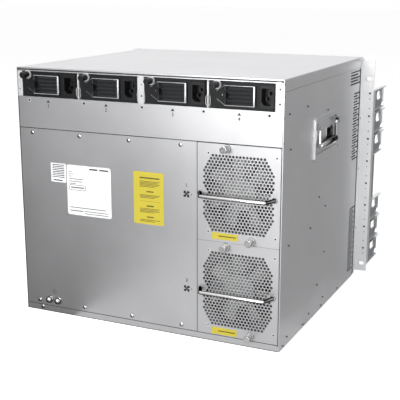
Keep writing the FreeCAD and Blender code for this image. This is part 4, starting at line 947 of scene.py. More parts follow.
@dataclass
class FanTray:
    """Perforated face of a fan tray with its side walls."""

    wardrobe: Wardrobe
    number: int
    pitch: float = 5.32
    hole: float = 2.1
    rows: tuple[int, ...] = (16, 17, 18, 19, 20, 21, 20, 21, 20, 21, 20, 19, 18,
                             19, 20, 21, 20, 21, 20, 21, 20, 19, 18, 17, 16)
    sheet: float = 1.5
    wall: float = 1.2
    wall_inset: float = 1.6
    depth: float = 90.0
    lip: float = 13.3
    screw_hole: float = 3.1

    def build(self) -> None:
        """Model the tray."""
        low, high = (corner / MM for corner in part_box(f"fan_tray_{self.number}"))
        self.low, self.high = low, high
        self.rise = self.pitch * math.sqrt(3) / 2
        self.middle = (low.x + high.x) / 2
        self.level = (low.z + high.z) / 2
        face = self.face()
        walls = [self.side_wall(low.x + self.wall_inset, 1.0),
                 self.side_wall(high.x - self.wall_inset, -1.0)]
        self.wardrobe.put(f"fan_tray_face_{self.number}", [face, *walls], "satin_sheet",
                          f"fan_tray_{self.number}", "painted_sheet", [f"fan_tray_{self.number}"])

    def cell(self) -> bpy.types.Object:
        """One cell of the perforation: a hexagon around a round hole."""
        place = (0.0, REAR, 0.0)
        hexagon = ring("cell_edge", self.pitch / math.sqrt(3), place, OUT, 6)
        edit_all(hexagon, "EDGE")
        bpy.ops.mesh.subdivide(number_cuts=1)
        done()
        hole = ring("cell_hole", self.hole, place, OUT, 12)
        cell = joined("cell", [hexagon, hole])
        edit_all(cell, "EDGE")
        bpy.ops.mesh.bridge_edge_loops()
        done()
        return cell

    def face(self) -> bpy.types.Object:
        """Rear face: rows of cells, filled out to the tray's outline and given its thickness."""
        cell = self.cell()
        rows = []
        for row, count in enumerate(self.rows):
            x = self.middle - (count - 1) / 2 * self.pitch
            z = self.level + (len(self.rows) // 2 - row) * self.rise
            strip = copied(cell, (x, 0.0, z))
            pick(strip)
            repeat = strip.modifiers.new("repeat", "ARRAY")
            repeat.count = count
            repeat.use_relative_offset = False
            repeat.use_constant_offset = True
            repeat.constant_offset_displace = (self.pitch * MM, 0.0, 0.0)
            bpy.ops.object.modifier_apply(modifier=repeat.name)
            rows.append(strip)
        bpy.data.objects.remove(cell)
        field_of_holes = joined("grille", rows)
        edit_all(field_of_holes)
        bpy.ops.mesh.remove_doubles(threshold=0.0002)
        done()
        edge = self.edge_loops()
        face = joined("tray_face", [field_of_holes, *edge])
        hole_reach = self.hole * 1.2 * MM
        centres = self.centres()

        def outer(rim: bmesh.types.BMEdge) -> bool:
            """Whether an open edge isn't the rim of a perforation."""
            if not (rim.is_boundary or rim.is_wire):
                return False
            if rim.is_wire:
                return True
            middle = (rim.verts[0].co + rim.verts[1].co) / 2
            return all((Vector((middle.x, middle.z)) - centre).length > hole_reach for centre in centres)

        select_where(face, outer, "EDGE")
        bpy.ops.mesh.fill(use_beauty=True)
        bpy.ops.mesh.select_all(action="SELECT")
        bpy.ops.mesh.normals_make_consistent(inside=False)
        done()
        facing = sum(polygon.normal.y * polygon.area for polygon in face.data.polygons)
        if facing < 0.0:
            edit_all(face)
            bpy.ops.mesh.flip_normals()
            done()
        pick(face)
        thick = face.modifiers.new("sheet", "SOLIDIFY")
        thick.thickness = self.sheet * MM
        thick.offset = -1.0
        thick.use_even_offset = False
        bpy.ops.object.modifier_apply(modifier=thick.name)
        return face

    def centres(self) -> list[Vector]:
        """Centres of all holes as X and Z in metres."""
        places = []
        for row, count in enumerate(self.rows):
            z = self.level + (len(self.rows) // 2 - row) * self.rise
            for i in range(count):
                places.append(Vector((self.middle + (i - (count - 1) / 2) * self.pitch, z)) * MM)
        return places

    def edge_loops(self) -> list[bpy.types.Object]:
        """Outline of the face and the rims of its two screw holes, as loops of edges."""
        deselect()
        bpy.ops.mesh.primitive_plane_add(size=1.0, rotation=(math.pi / 2, 0.0, 0.0), location=point(
            (self.middle, REAR, self.level)))
        width, height = self.high.x - self.low.x, self.high.z - self.low.z
        bpy.context.active_object.scale = (width * MM, height * MM, 1.0)
        outline = named("tray_outline")
        edit_all(outline)
        bpy.ops.mesh.delete(type="ONLY_FACE")
        bpy.ops.mesh.select_mode(type="VERT")
        bpy.ops.mesh.select_all(action="SELECT")
        bpy.ops.mesh.bevel(offset=1.0 * MM, segments=3, affect="VERTICES")
        done()
        loops = [outline]
        for edge in ("upper", "lower"):
            a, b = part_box(f"fan_thumbscrew_{edge}_{self.number}")
            place = ((a + b) / 2) / MM
            loops.append(ring("screw_hole", self.screw_hole, (place.x, REAR, place.z), OUT, 20))
        return loops

    def side_wall(self, x: float, inward: float) -> bpy.types.Object:
        """Folded side wall that carries the fan."""
        low = (min(x, x + inward * self.wall), REAR - self.depth, self.low.z + self.lip)
        high = (max(x, x + inward * self.wall), REAR - self.sheet, self.high.z - self.lip)
        return block("tray_wall", low, high, 0.3)


@dataclass
class FanHandle:
    """Polished rod handle of a fan tray, with a stepped collar at each foot."""

    wardrobe: Wardrobe
    number: int
    radius: float = 3.0
    collar: float = 4.4
    bend: float = 9.0

    def build(self) -> None:
        """Model the handle."""
        low, high = (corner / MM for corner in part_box(f"fan_handle_{self.number}"))
        z = (low.z + high.z) / 2
        out = high.y - self.radius
        x0, x1 = high.x - self.collar, low.x + self.collar
        path = [(x0, REAR, z), (x0, out, z), (x1, out, z), (x1, REAR, z)]
        parts = [rod("bail", self.radius, self.bend, path, 20)]
        for x in (x0, x1):
            steps = ((self.collar, 0.0), (self.collar, 1.1), (self.collar - 0.4, 1.5), (self.radius, 1.5))
            parts.append(lathe("collar", (x, REAR, z), OUT, steps))
        handle = smooth(joined(f"fan_handle_rod_{self.number}", parts))
        self.wardrobe.dress(handle, "polished_rod")
        self.wardrobe.hang(handle, f"fan_tray_{self.number}", "polished_rod", [f"fan_handle_{self.number}"])


@dataclass
class Thumbscrew:
    """Captive thumbscrew with a knurled cap and a crossed recess."""

    wardrobe: Wardrobe
    node: str
    finish: str
    slot: str
    shank: str
    wall: str
    cap_start: float
    knurls: int = 24
    recess: float = 2.4

    def build(self) -> None:
        """Model the thumbscrew in the place of its CAD node."""
        low, high = (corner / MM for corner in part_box(self.node))
        x, z = (low.x + high.x) / 2, (low.z + high.z) / 2
        radius = (high.x - low.x) / 2
        tip = low.y - REAR
        cap = high.y - REAR
        place = (x, REAR, z)
        shank = lathe("shank", place, OUT, ((1.6, tip), (2.0, tip + 0.8), (2.0, -1.5), (3.0, -1.4),
                                            (3.0, 0.3)))
        collar = lathe("collar", place, OUT, (
            (radius - 1.5, 0.3), (radius - 1.5, self.cap_start - 1.0), (radius - 2.2, self.cap_start)))
        head = lathe("cap", place, OUT, (
            (radius - 1.2, self.cap_start), (radius - 0.3, self.cap_start + 0.4), (radius - 0.3, cap - 1.2),
            (radius - 1.0, cap)), self.knurls * 2)
        self.knurl(head, place)
        cross_recess(head, (x, REAR + cap, z), self.recess, 0.8, 0.7)
        for part, finish in ((shank, self.wall), (collar, self.shank), (head, self.finish)):
            self.wardrobe.dress(part, finish)
        # the cap's knurled wall takes the wall finish; on the fan screws that is a dim grey, painted shade
        # on the cap's side
        head.data.materials.append(self.wardrobe.materials[self.wall])
        select_where(head, lambda face: abs(face.normal.y) < 0.3)
        head.active_material_index = 1
        bpy.ops.object.material_slot_assign()
        done()
        screw = smooth(joined(f"{self.node}_turned", [shank, collar, head]), 30.0)
        self.wardrobe.hang(screw, self.node, self.slot, [self.node])

    def knurl(self, head: bpy.types.Object, place: Point) -> None:
        """Push out every second facet of the cap's wall."""
        middle = point(place)

        def ridge(face: bmesh.types.BMFace) -> bool:
            """Whether a facet of the wall is one of every second."""
            out = face.calc_center_median() - middle
            if abs(face.normal.y) > 0.3 or face.calc_area() < 1e-8:
                return False
            angle = math.atan2(out.z, out.x) % (2 * math.pi)
            return int(angle / (math.pi / self.knurls)) % 2 == 0

        if select_where(head, ridge):
            bpy.ops.mesh.inset(thickness=0.00006, use_individual=True)
            bpy.ops.transform.shrink_fatten(value=0.00022)
        done()


# ---------------------------------------------------------------- print


@dataclass(frozen=True)
class Label:
    """Label on the rear with plain bars, placed from its upper left corner, seen from behind."""

    name: str
    left: float
    top: float
    width: float
    height: float
    corner: float
    finish: str
    ink: str
    marks: tuple[Span, ...] = ()
    capsule: Span | None = None

    def build(self, wardrobe: Wardrobe, body: str) -> None:
        """Model the label and its print.

        Args:
            wardrobe: The finishes.
            body: The CAD body it is stuck on.
        """
        corners = card_corners(self.left - self.width, self.left, self.top - self.height, self.top,
                               self.corner)
        card = sheet_outline(f"{self.name}_card", corners, (0.0, 2 * SKIN, 0.0))
        wardrobe.dress(card, self.finish)
        wardrobe.hang(card, body, "painted_sheet")
        if not self.marks:
            return
        print_height = 3 * SKIN
        places = [(self.left - u0, self.left - u1, self.top - v0, self.top - v1) for u0, u1, v0,
                  v1 in self.marks]
        parts = [bars("marks", places, print_height)]
        if self.capsule:
            u0, u1, v0, v1 = self.capsule
            x0, x1, z0, z1 = self.left - u1, self.left - u0, self.top - v1, self.top - v0
            line = 0.7
            parts.append(frame_plate("capsule", card_corners(x0, x1, z0, z1, 2.6), card_corners(
                x0 + line, x1 - line, z0 + line, z1 - line, 2.6 - line), (0.0, print_height, 0.0)))
        wardrobe.put(f"{self.name}_print", parts, self.ink, body, "painted_sheet")


def lines(u0: float, u1: float, v0: float, v1: float, count: int, ragged: float = 3.0
          ) -> tuple[Span, ...]:
    """Thin bars that stand for lines of text in a block.

    Args:
        u0: Left edge.
        u1: Right edge.
        v0: Upper edge.
        v1: Lower edge.
        count: How many bars.
        ragged: How much shorter every second and the last bar are.

    Returns:
        The bars.
    """
    pitch = (v1 - v0) / count
    rows = []
    for i in range(count):
        end = u1 - (ragged * 3 if i == count - 1 else ragged * (i % 2))
        rows.append((u0, end, v0 + i * pitch, v0 + i * pitch + pitch * 0.45))
    return tuple(rows)


@dataclass
class RearPrint:
    """Labels, plain numbers and simple signs on the rear panels."""

    wardrobe: Wardrobe

    def build(self) -> None:
        """Model all of the print."""
        Label("code_label", 164.5, 249.9, 27.7, 30.2, 0.8, "white_label", "label_ink",
              (*lines(2.8, 24.9, 2.0, 24.0, 8, 0.0), (4.5, 21.0, 26.3, 28.0))).build(self.wardrobe,
                                                                                     "chassis")
        Label("white_label", 135.3, 249.5, 79.3, 79.7, 4.0, "white_label", "label_ink",
              ((41.0, 56.0, 3.6, 5.8), (59.0, 75.0, 3.6, 5.8), (3.5, 10.0, 10.6, 11.5),
               (3.5, 12.0, 14.1, 15.0),
               (3.5, 9.0, 17.6, 18.5), (4.0, 30.0, 21.6, 22.6), (4.0, 28.0, 25.5, 26.5),
               (4.0, 16.0, 29.0, 30.0),
               (7.0, 31.0, 34.8, 36.4), (4.6, 69.0, 67.1, 68.2), (4.6, 28.5, 72.3, 73.6),
               (31.0, 73.0, 72.0, 73.0),
               (31.0, 73.0, 75.6, 76.6)), (3.8, 34.0, 31.4, 40.0)).build(self.wardrobe, "chassis")
        Label("yellow_label", 16.5, 249.9, 50.8, 80.7, 0.8, "yellow_label", "olive_ink",
              ((10.5, 44.0, 8.0, 10.2), (22.0, 34.0, 28.9, 30.9), (22.0, 34.0, 51.0, 53.2),
               (22.0, 34.0, 68.3, 70.3),
               (10.5, 45.0, 44.8, 45.1), *lines(10.5, 44.5, 14.0, 24.0, 5),
               *lines(10.5, 44.5, 35.0, 41.0, 3),
               *lines(10.5, 44.5, 56.0, 63.5, 4), *lines(10.5, 44.5, 73.5, 78.0, 2))).build(self.wardrobe,
                                                                                            "chassis")
        self.upper_panel()
        for number, level in ((1, 222.9), (2, 76.5)):
            self.fan_sign(number, -72.1, level)
        self.earth_sign()

    def upper_panel(self) -> None:
        """Numbers 1 to 4 under small triangles that point at the power supplies."""
        parts = []
        for number, x in enumerate((164.6, 61.3, -50.4, -154.6), 1):
            corners = ((x - 3.2, REAR, 343.9), (x, REAR, 348.0), (x + 3.2, REAR, 343.9))
            parts.append(sheet_outline("pointer", corners, (0.0, SKIN, 0.0)))
            parts.append(lettering("number", str(number), x, 336.6, 5.0))
        self.wardrobe.put("power_numbers", parts, "panel_ink", "chassis", "painted_sheet")

    def fan_sign(self, number: int, x: float, z: float) -> None:
        """Four petals with a small arrow and the fan's number above.

        Args:
            number: Number of the fan.
            x: Middle of the sign.
            z: Level of its middle.
        """
        parts = [lettering("number", str(number), x, z + 11.0, 5.0), drum(
            "hub", 1.1, (x, REAR, z), (x, REAR + SKIN, z), 12)]
        petal = ((1.0, -0.6), (3.0, -0.68), (5.2, -0.46), (6.2, 0.0), (5.9, 0.44), (3.6, 0.5), (1.3, 0.6))
        for quarter in range(4):
            leaf = []
            for reach, turn in petal:
                angle = quarter * math.pi / 2 + math.pi / 4 + turn
                leaf.append((x + reach * math.cos(angle), REAR, z + reach * math.sin(angle)))
            parts.append(sheet_outline("petal", leaf, (0.0, SKIN, 0.0)))
        arrow = ((x - 7.4, REAR, z - 1.3), (x - 7.4, REAR, z + 1.3), (x - 9.2, REAR, z))
        parts.append(sheet_outline("arrow", arrow, (0.0, SKIN, 0.0)))
        self.wardrobe.put(f"fan_sign_{number}", parts, "panel_ink", "chassis", "painted_sheet")

    def earth_sign(self) -> None:
        """Ringed earth sign above the ground studs."""
        x, z = 167.5, 35.4
        strokes = ((x - 0.25, x + 0.25, z, z + 2.6), (x - 2.3, x + 2.3, z - 0.25, z + 0.25),
                   (x - 1.5, x + 1.5, z - 1.35, z - 0.85), (x - 0.7, x + 0.7, z - 2.4, z - 1.9))
        parts = [washer("earth_ring", x, z, 4.2, 3.7, SKIN), bars("earth_bars", strokes, SKIN)]
        self.wardrobe.put("earth_sign", parts, "pale_ink", "chassis", "painted_sheet")


# ---------------------------------------------------------------- fittings


@dataclass
class RearScrews:
    """Screws of the cover plate, rimmed holes of the upper panel and the bay, and the ground studs."""

    wardrobe: Wardrobe
    cover_x: tuple[float, ...] = (196.4, 109.97, 23.53, -62.9)
    cover_z: tuple[float, ...] = (17.2, 295.7)
    upper_x: tuple[float, ...] = (199.6, 99.8, 0.0, -99.8, -199.6)
    upper_z: float = 346.5
    ground_x: tuple[float, ...] = (176.7, 160.5)
    ground_z: float = 20.7

    def build(self) -> None:
        """Model all of the fittings."""
        pans = self.pan_heads()
        studs = self.studs()
        self.wardrobe.put("rear_screws_turned", pans + studs, "turned_knob", "chassis", "spring_steel",
                          ["rear_screws"])
        rims = [washer("rim", x, self.upper_z, 2.8, 1.9, 0.35) for x in self.upper_x]
        rims += [washer("rim", x, z, radius, radius * 0.55, 0.2) for x, z,
                 radius in self.bay_holes() if z > 300.0]
        self.wardrobe.put("panel_rims", rims, "bright_trim", "chassis", "spring_steel")
        holes = [spot("hole", (x, REAR, self.upper_z), OUT, 1.9, 0.1) for x in self.upper_x]
        holes += [spot("hole", (x, REAR, z), OUT, radius * 0.55, 0.06)
                  for x, z, radius in self.bay_holes()]
        self.wardrobe.put("panel_holes", holes, "shadow_recess", "chassis", "painted_sheet")

    @staticmethod
    def bay_holes() -> tuple[tuple[float, float, float], ...]:
        """X, Z and rim radius of the small holes in the power bay's flanges and the base lip."""
        return ((-214.6, 383.4, 2.6), (-214.6, 363.0, 2.6), (216.2, 363.5, 1.9), (0.35, 363.0, 2.6),
                (0.35, 380.0, 1.7), (181.7, 5.2, 1.5), (-218.0, 8.6, 1.5))

    def pan_heads(self) -> list[bpy.types.Object]:
        """Pan heads with crossed recesses on the cover plate and the base lip."""
        head = lathe("pan", (0.0, REAR, 0.0), OUT, (
            (3.3, 0.0), (3.3, 0.5), (3.05, 1.0), (2.4, 1.4), (1.2, 1.6)), 20)
        cross_recess(head, (0.0, REAR + 1.6, 0.0), 1.5, 0.6, 0.7)
        smooth(head, 30.0)
        places = [(x, z) for x in self.cover_x for z in self.cover_z] + [(191.1, 6.2)]
        heads = [copied(head, (x, 0.0, z)) for x, z in places]
        bpy.data.objects.remove(head)
        return heads

    def studs(self) -> list[bpy.types.Object]:
        """Domed ground nuts on stepped washers."""
        steps = ((6.2, 0.0), (6.2, 0.7), (5.6, 0.9), (5.6, 1.5), (4.9, 1.6), (4.9, 4.2), (4.4, 5.4),
                 (3.2, 6.4), (1.4, 6.9))
        return [smooth(lathe("ground_nut", (x, REAR, self.ground_z), OUT, steps, 28), 30.0)
                for x in self.ground_x]


@dataclass
class Seals:
    """Painted shade in the rear's seams and along its edges, in the ear grooves and behind the side vents;
    painted light on the bay's end flanges.
    """

    wardrobe: Wardrobe
    seat: float = 202.6
    face: float = 203.6
    vents: tuple[Point, ...] = ((-146.0, 14.5, 134.5), (-146.0, 220.0, 340.0), (-125.0, 352.8, 382.8))

    def build(self) -> None:
        """Model the painted shades and the painted light on the bay's flanges."""
        # dark strips sunk in the seams paint the shade of the gaps
        parts = [block("seam_shade", (x0, self.seat, z0), (x1, self.face, z1)) for x0, x1, z0, z1 in (
            (-89.0, 219.0, 302.1, 303.2), (-219.0, -89.0, 301.7, 303.2), (-89.95, -88.95, 11.0, 301.7),
            (-219.4, -218.3, 11.0, 301.7), (-218.2, -90.0, 156.1, 156.4))]
        # dark bars paint shade along the rear's edge at +X, its lower edge and the line at the base lip
        parts.append(bars("edge_shade_lines", ((219.2, 220.9, 0.2, 351.5), (-219.4, 219.2, 9.7, 10.45),
                                         (-219.4, 219.2, 0.1, 0.8)), SKIN))
        # dark blocks in the grooves beside the ears paint their shade, and the liners paint the shade behind
        # the vent slots
        for side in (-1, 1):
            for near, far, y0, y1 in ((219.1, 221.0, 17.1, 19.9), (221.02, 221.3, 15.8, 20.6)):
                x0, x1 = sorted((side * near, side * far))
                parts.append(block("ear_groove_shade", (x0, FRONT + y0, 2.0), (x1, FRONT + y1, 379.0)))
            x0, x1 = sorted((side * 218.7, side * 219.1))
            parts += [block("liner", (x0, FRONT + 22.0, z0), (x1, y, z1)) for y, z0, z1 in self.vents]
        self.wardrobe.put("rear_painted_shades", parts, "painted_shade_grey", "chassis", "guide_plastic")
        # bars of a brighter finish paint the light that falls on the bay's end flanges
        flange_light = bars("bay_flange_light", ((211.1, 219.3, 352.5, 391.0), (-219.3, -208.3, 352.5, 391.0)), SKIN)
        self.wardrobe.dress(flange_light, "bright_trim")
        self.wardrobe.hang(flange_light, "chassis", "painted_sheet")


@dataclass
class TrayDetails:
    """Washers, painted shadow rings around the thumbscrew seats, corner screws and the label of a fan tray.
    """

    wardrobe: Wardrobe
    number: int
    screws: tuple[float, float] = (-107.4, -212.0)
    screw_reach: float = 58.4

    def build(self) -> None:
        """Model the details."""
        body = f"fan_tray_{self.number}"
        low, high = (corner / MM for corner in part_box(body))
        level = (low.z + high.z) / 2
        places = [(x, level + side * self.screw_reach) for x in self.screws for side in (-1, 1)]
        rims = [washer("rim", x, z, 2.6, 1.3, 0.25) for x, z in places]
        seat_shadows = []
        for edge in ("upper", "lower"):
            a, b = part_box(f"fan_thumbscrew_{edge}_{self.number}")
            place = (a + b) / 2 / MM
            rims.append(washer("seat", place.x, place.z, 5.7, 4.2, 0.7))
            # a dark ring around each seat paints the shadow around it
            seat_shadows.append(washer("seat_shadow_ring", place.x, place.z, 6.2, 5.7, 0.3))
        self.wardrobe.put(f"tray_rims_{self.number}", rims, "bright_trim", body, "painted_sheet")
        dark = seat_shadows + [spot("hole", (x, REAR, z), OUT, 1.3, 0.08) for x, z in places]
        self.wardrobe.put(f"tray_holes_{self.number}", dark, "shadow_recess", body, "painted_sheet")
        left, top, width, height = ((-113.4, 170.2, 41.3, 10.0), (-113.7, 22.8, 40.6, 10.8))[self.number - 1]
        Label(f"tray_label_{self.number}", left, top, width, height, 0.4, "yellow_label", "olive_ink",
              ((10.5, 38.0, height / 2 - 0.8, height / 2 + 0.8),)).build(self.wardrobe, body)


@dataclass
class PowerSupply:
    """Handle, louvres, painted hinge glint and knob collar of one power supply."""

    wardrobe: Wardrobe
    number: int

    def build(self) -> None:
        """Model the supply's fittings."""
        low, high = (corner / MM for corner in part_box(f"power_case_{self.number}"))
        self.left = high.x
        self.middle = (low.z + high.z) / 2
        self.pull()
        self.louvres()
        self.metal()
        inlet = frame["nodes"][f"power_inlet_{self.number}"]
        self.wardrobe.dress(inlet, "black_moulding")

    def at(self, u: float, rise: float, y: float) -> Point:
        """Place on the supply from its left edge and the level of its middle."""
        return (self.left - u, y, self.middle + rise)

    def pull(self) -> None:
        """Pull handle: a thin bow of strip with a thicker grip, on two dark pins."""
        y = REAR + 3.1
        bow = [(23.2, 14.3), (23.2, 13.4), (66.5, 13.4), (66.5, -13.4), (23.2, -13.4), (23.2, -14.3),
               (68.4, -14.3),
               (69.0, -13.7), (69.0, 13.7), (68.4, 14.3)]
        grip = sheet_outline("bow", [self.at(u, h, y) for u, h in bow], (0.0, 2.2, 0.0))
        rounded(grip, 0.3)
        whole = smooth(joined(f"power_pull_{self.number}", [grip]))
        self.wardrobe.dress(whole, "pull_steel")
        self.wardrobe.hang(whole, f"power_handle_{self.number}", "polished_rod",
                           [f"power_handle_{self.number}"])
        pins = [drum("pin", 1.0, self.at(24.2, side * 6.9, y + 1.1), self.at(24.2, side * 13.2, y + 1.1), 12)
                for side in (-1, 1)]
        self.wardrobe.put(f"power_pull_pins_{self.number}", pins, "louvre_grey",
                          f"power_handle_{self.number}", "polished_rod")

    def louvres(self) -> None:
        """Slanted blades in the slots."""
        blades = []
        first = -2 * 5.6
        for row in range(5):
            h = first + row * 5.6
            profile = ((REAR - 0.3, h - 1.65), (REAR - 0.9, h - 1.65), (REAR - 3.0, h + 1.3),
                       (REAR - 2.4, h + 1.3))
            corners = [(self.left - 28.3, y, self.middle + z) for y, z in profile]
            blades.append(sheet_outline("blade", corners, (-37.4, 0.0, 0.0)))
        self.wardrobe.put(f"power_louvres_{self.number}", blades, "louvre_grey",
                          f"power_supply_{self.number}", "black_sheet")

    def metal(self) -> None:
        """Bright seat of the knob, a small bright block that paints a glint on the hinge, and two dim ribs
        beside it.
        """
        a, b = (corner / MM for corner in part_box(f"power_knob_{self.number}"))
        x, z = (a.x + b.x) / 2, (a.z + b.z) / 2
        left, _, level = self.at(19.0, 0.0, REAR)
        # the small bright block paints a glint on the hinge
        parts = [washer("knob_seat", x, z, 6.3, 3.9, 1.8),
                 block("hinge_glint", (left - 1.2, REAR, level - 1.0), (left + 1.2, REAR + 0.8, level + 1.0),
                       0.25)]
        self.wardrobe.put(f"power_trim_{self.number}", parts, "bright_trim", f"power_supply_{self.number}",
                          "black_sheet")
        ribs = []
        for side in (-1, 1):
            rib = [(22.3, 13.9), (21.4, 14.2), (9.6, 6.1), (10.2, 5.2)]
            ribs.append(sheet_outline("rib", [self.at(u, side * h, REAR) for u, h in rib], (0.0, 0.9, 0.0)))
        self.wardrobe.put(f"power_ribs_{self.number}", ribs, "dim_strip", f"power_supply_{self.number}",
                          "black_sheet")


@dataclass
class Recoloured:
    """Merged copy of a CAD node whose faces don't all have the same finish."""

    wardrobe: Wardrobe
    node: str
    finish: str
    slot: str
    rules: tuple[tuple[str, Callable[[bmesh.types.BMFace], bool]], ...]

    def build(self) -> None:
        """Copy the node, merge it and give the faces that a rule picks their own finish."""
        whole = copied(frame["nodes"][self.node])
        whole.name = f"{self.node}_sheet"
        outwards(whole)
        self.wardrobe.dress(whole, self.finish)
        for index, (finish, wanted) in enumerate(self.rules, 1):
            whole.data.materials.append(self.wardrobe.materials[finish])
            select_where(whole, wanted)
            whole.active_material_index = index
            bpy.ops.object.material_slot_assign()
            done()
        self.wardrobe.hang(whole, "chassis", self.slot, [self.node])


def inner_plate(face: bmesh.types.BMFace) -> bool:
    """Whether a face is a broad side of a cable guide's inner plate, which a darker grey paints as shaded
    under the shelves.
    """
    return abs(face.normal.x) > 0.9 and 232.9 * MM < abs(face.calc_center_median().x) < 235.1 * MM


def behind_ear(face: bmesh.types.BMFace) -> bool:
    """Whether a face lies against the ear, where only the ear's holes show it."""
    return face.normal.y > 0.9 and abs(face.calc_center_median().y - (FRONT - 2.0) * MM) < 0.1 * MM


def handle_tab(face: bmesh.types.BMFace) -> bool:
    """Whether a face of a handle plate faces the rear on a tab that holds the rod; these faces take a dim
    finish as painted shade.
    """
    middle = face.calc_center_median() / MM
    on_tab = abs(middle.x) > 221.6 and 300.0 < middle.z < 322.0 and -44.0 < middle.y < 64.0
    return face.normal.y > 0.5 and on_tab


def vent_wall(face: bmesh.types.BMFace) -> bool:
    """Whether a face lies inside a vent slot of a side panel; these faces take a dark grey as painted shade.
    """
    middle = face.calc_center_median() / MM
    return abs(face.normal.x) < 0.5 and abs(middle.x) > 219.4 and FRONT + 21.0 < middle.y < FRONT + 90.0


@dataclass
class SideFittings:
    """Drop handle, window liner, press nuts and ear screws of one side."""

    wardrobe: Wardrobe
    side: int
    middle: float = 11.0
    axis_x: float = 226.2
    axis_z: float = 311.0
    grip_z: float = 281.0
    holes: tuple[tuple[float, float], ...] = (
        (103.0, 348.0), (203.0, 330.0), (23.0, 347.0), (30.0, 296.0), (171.5, 196.0), (205.5, 174.0),
        (132.4, 155.0), (32.0, 154.0), (205.6, 96.5), (175.0, 49.0), (292.0, 6.0), (207.0, 18.0),
        (199.5, 5.4),
        (134.5, 13.6), (108.0, 5.0), (33.0, 12.6), (16.4, 4.0))
    rivets: tuple[tuple[float, float], ...] = ((131.0, 296.0), (203.0, 252.5), (263.0, 264.0))
    notches: tuple[float, ...] = (390.0, 373.0, 344.0, 309.0)
    ear_screws: tuple[float, ...] = (289.6, 198.2, 87.9, 15.5)

    def build(self) -> None:
        """Model the side's fittings."""
        self.word = "right" if self.side > 0 else "left"
        self.drop_handle()
        self.liner()
        self.small_parts()

    def drop_handle(self) -> None:
        """Bent rod with a smooth, rounded grip."""
        x = self.side * self.axis_x
        ends = ((50.2, self.axis_z), (37.5, self.axis_z), (46.0, self.grip_z))
        path = [(x, self.middle + y, z) for y, z in ends] + [(x, self.middle - y, z) for y,
                                                             z in reversed(ends)]
        bail = rod("bail", 2.8, 4.0, path, 20)
        grip = lathe("grip", (x, self.middle, self.grip_z), OUT, (
            (3.0, -40.6), (4.1, -40.2), (4.6, -39.2), (4.6, 39.2), (4.1, 40.2), (3.0, 40.6)), 28)
        handle = smooth(joined(f"drop_handle_rod_{self.word}", [bail, smooth(grip, 50.0)]), 50.0)
        self.wardrobe.dress(handle, "grip_steel")
        self.wardrobe.hang(handle, f"drop_handle_{self.word}", "polished_rod", [f"drop_handle_{self.word}"])

    def liner(self) -> None:
        """Bright liner of the finger window."""
        y, z = self.middle - 24.0, 287.0
        outer = self.rectangle(y, z, 19.0, 16.0)
        inner = self.rectangle(y, z, 17.2, 14.6)
        liner = frame_plate(f"window_liner_{self.word}", outer, inner, (self.side * -4.2, 0.0, 0.0))
        self.wardrobe.dress(liner, "spring_strip")
        self.wardrobe.hang(liner, "chassis", "bright_sheet")

    def rectangle(self, y: float, z: float, half_y: float, half_z: float) -> list[Point]:
        """Corners of an upright rectangle a little outside the side panel."""
        x = self.side * (HALF + 0.3)
        return [(x, y + half_y, z + half_z), (x, y - half_y, z + half_z), (x, y - half_y, z - half_z),
                (x, y + half_y, z - half_z)]

    def small_parts(self) -> None:
        """Dark holes, rivets with bright rims, notches in the rear edge and the ear's screws."""
        out = (float(self.side), 0.0, 0.0)
        face = self.side * HALF
        dark = [spot("hole", (face, REAR - depth, z), out, 1.5) for depth, z in self.holes]
        dark += [spot("rivet_heart", (face, REAR - depth, z), out, 1.3, 0.35) for depth, z in self.rivets]
        for z in self.notches:
            reach = sorted((face - self.side * 0.5, face + self.side * SKIN))
            dark.append(block("notch", (reach[0], REAR - 2.6, z - 1.3), (reach[1], REAR - 0.2, z + 1.3)))
        dark += [spot("screw_heart", (face, FRONT + 7.0, z), out, 1.2, 0.45) for z in self.ear_screws]
        self.wardrobe.put(f"side_holes_{self.word}", dark, "shadow_recess", "chassis", "painted_sheet")
        rims = []
        for depth, z in self.rivets:
            rims.append(lathe("rivet", (face, REAR - depth, z), out, ((2.2, 0.0), (2.2, 0.15), (1.9, 0.3)),
                              16))
        for z in self.ear_screws:
            rims.append(lathe("screw", (face, FRONT + 7.0, z), out, ((2.4, 0.0), (2.4, 0.2), (2.0, 0.4)),
                              16))
        self.wardrobe.put(f"side_rivets_{self.word}", rims, "turned_steel", "chassis", "painted_sheet")


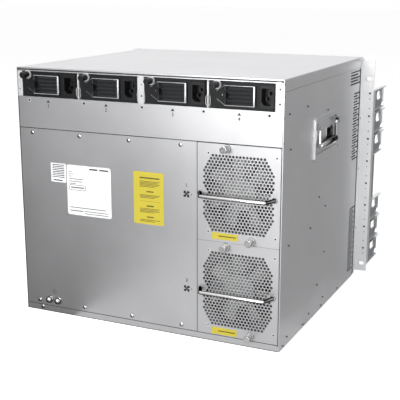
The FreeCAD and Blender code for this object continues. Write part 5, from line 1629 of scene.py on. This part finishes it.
@dataclass
class FrontDetails:
    """Air filter, dark plates behind the cover's mitred corners that paint the shade in the gaps, card
    screws and lamps of the front.
    """

    wardrobe: Wardrobe
    bottom: float = 26.88
    pitch: float = 40.64
    slots: int = 8
    cards: tuple[int, ...] = (3, 4)

    def build(self) -> None:
        """Model the front's details."""
        foam = [block("foam", (-212.0, FRONT + 1.6, 354.0), (212.0, FRONT + 4.2, 389.0))]
        # dark plates behind the mitred corners paint the shade of the gaps
        for side in (-1, 1):
            corners = [(side * 217.4, FRONT + 19.5, 379.8), (side * 217.4, FRONT + 1.8, 395.3),
                       (side * 217.4, FRONT + 8.6, 395.3), (side * 217.4, FRONT + 26.0, 379.8)]
            foam.append(sheet_outline("mitre_shade", corners, (side * 1.5, 0.0, 0.0)))
        self.wardrobe.put("front_foam_and_mitre_shade", foam, "rail_plastic", "chassis", "guide_plastic")
        for slot in range(self.slots):
            self.screws(slot)
        for slot in self.cards:
            self.lamps(slot)

    def screws(self, slot: int) -> None:
        """Two captive screws at the ends of a slot's panel."""
        z = self.bottom + (slot + 0.5) * self.pitch - 12.0
        steps = ((3.4, 0.0), (3.4, 0.6), (2.6, 0.8), (2.6, 3.6), (2.2, 4.0))
        pair = [smooth(lathe("card_screw", (x, FRONT, z), (0.0, -1.0, 0.0), steps, 20), 30.0)
                for x in (-209.0, 209.0)]
        whole = joined(f"card_screws_{slot}", pair)
        self.wardrobe.dress(whole, "turned_steel")
        number = self.cards.index(slot) + 1 if slot in self.cards else 0
        self.wardrobe.hang(whole, f"control_card_{number}" if number else "chassis", "bright_sheet")

    def lamps(self, slot: int) -> None:
        """Row of small green lamps on a control card."""
        z = self.bottom + (slot + 0.5) * self.pitch
        row = [spot("lamp", (x, FRONT, z), (0.0, -1.0, 0.0), 1.3, 0.5) for x in (112.0, 118.0, 124.0, 130.0)]
        self.wardrobe.put(f"card_lamps_{slot}", row, "lamp_green",
                          f"control_card_{self.cards.index(slot) + 1}", "bright_sheet")


def main() -> None:
    """Build the studio and every sub-assembly in order."""
    logging.basicConfig(level=logging.INFO, format="%(name)s: %(message)s")
    wardrobe = Wardrobe()
    Studio().build()
    Chassis(wardrobe).build()
    for number in (1, 2):
        FanTray(wardrobe, number).build()
        TrayDetails(wardrobe, number).build()
        FanHandle(wardrobe, number).build()
        for edge in ("upper", "lower"):
            # dim_strip on the fan thumbscrews' knurled walls paints shade on the caps' sides
            Thumbscrew(wardrobe, f"fan_thumbscrew_{edge}_{number}", "turned_steel", "thumbscrew_steel",
                       "knob_steel",
                       "dim_strip", 12.0).build()
    for number in (1, 2, 3, 4):
        PowerSupply(wardrobe, number).build()
        Thumbscrew(wardrobe, f"power_knob_{number}", "black_moulding", "black_plastic", "black_moulding",
                   "black_moulding", 4.0, 20, 2.6).build()
    RearScrews(wardrobe).build()
    RearPrint(wardrobe).build()
    Seals(wardrobe).build()
    for side, word in ((-1, "left"), (1, "right")):
        # the cable guides' inner plates take a darker grey, painted shade under the shelves
        Recoloured(wardrobe, f"cable_guide_{word}", "guide_light", "guide_sheet",
                   (("guide_shaded_grey", inner_plate), ("shadow_recess", behind_ear))).build()
        # walls of the vent slots take a dark grey as painted shade
        Recoloured(wardrobe, f"side_panel_{word}", "satin_sheet", "painted_sheet",
                   (("painted_shade_grey", vent_wall),)).build()
        # rear faces of the handle plates' tabs take a dim finish, painted shade
        Recoloured(wardrobe, f"handle_plate_{word}", "satin_sheet", "bright_sheet",
                   (("dim_strip", handle_tab),)).build()
        SideFittings(wardrobe, side).build()
    FrontDetails(wardrobe).build()


if __name__ == "__main__":
    main()
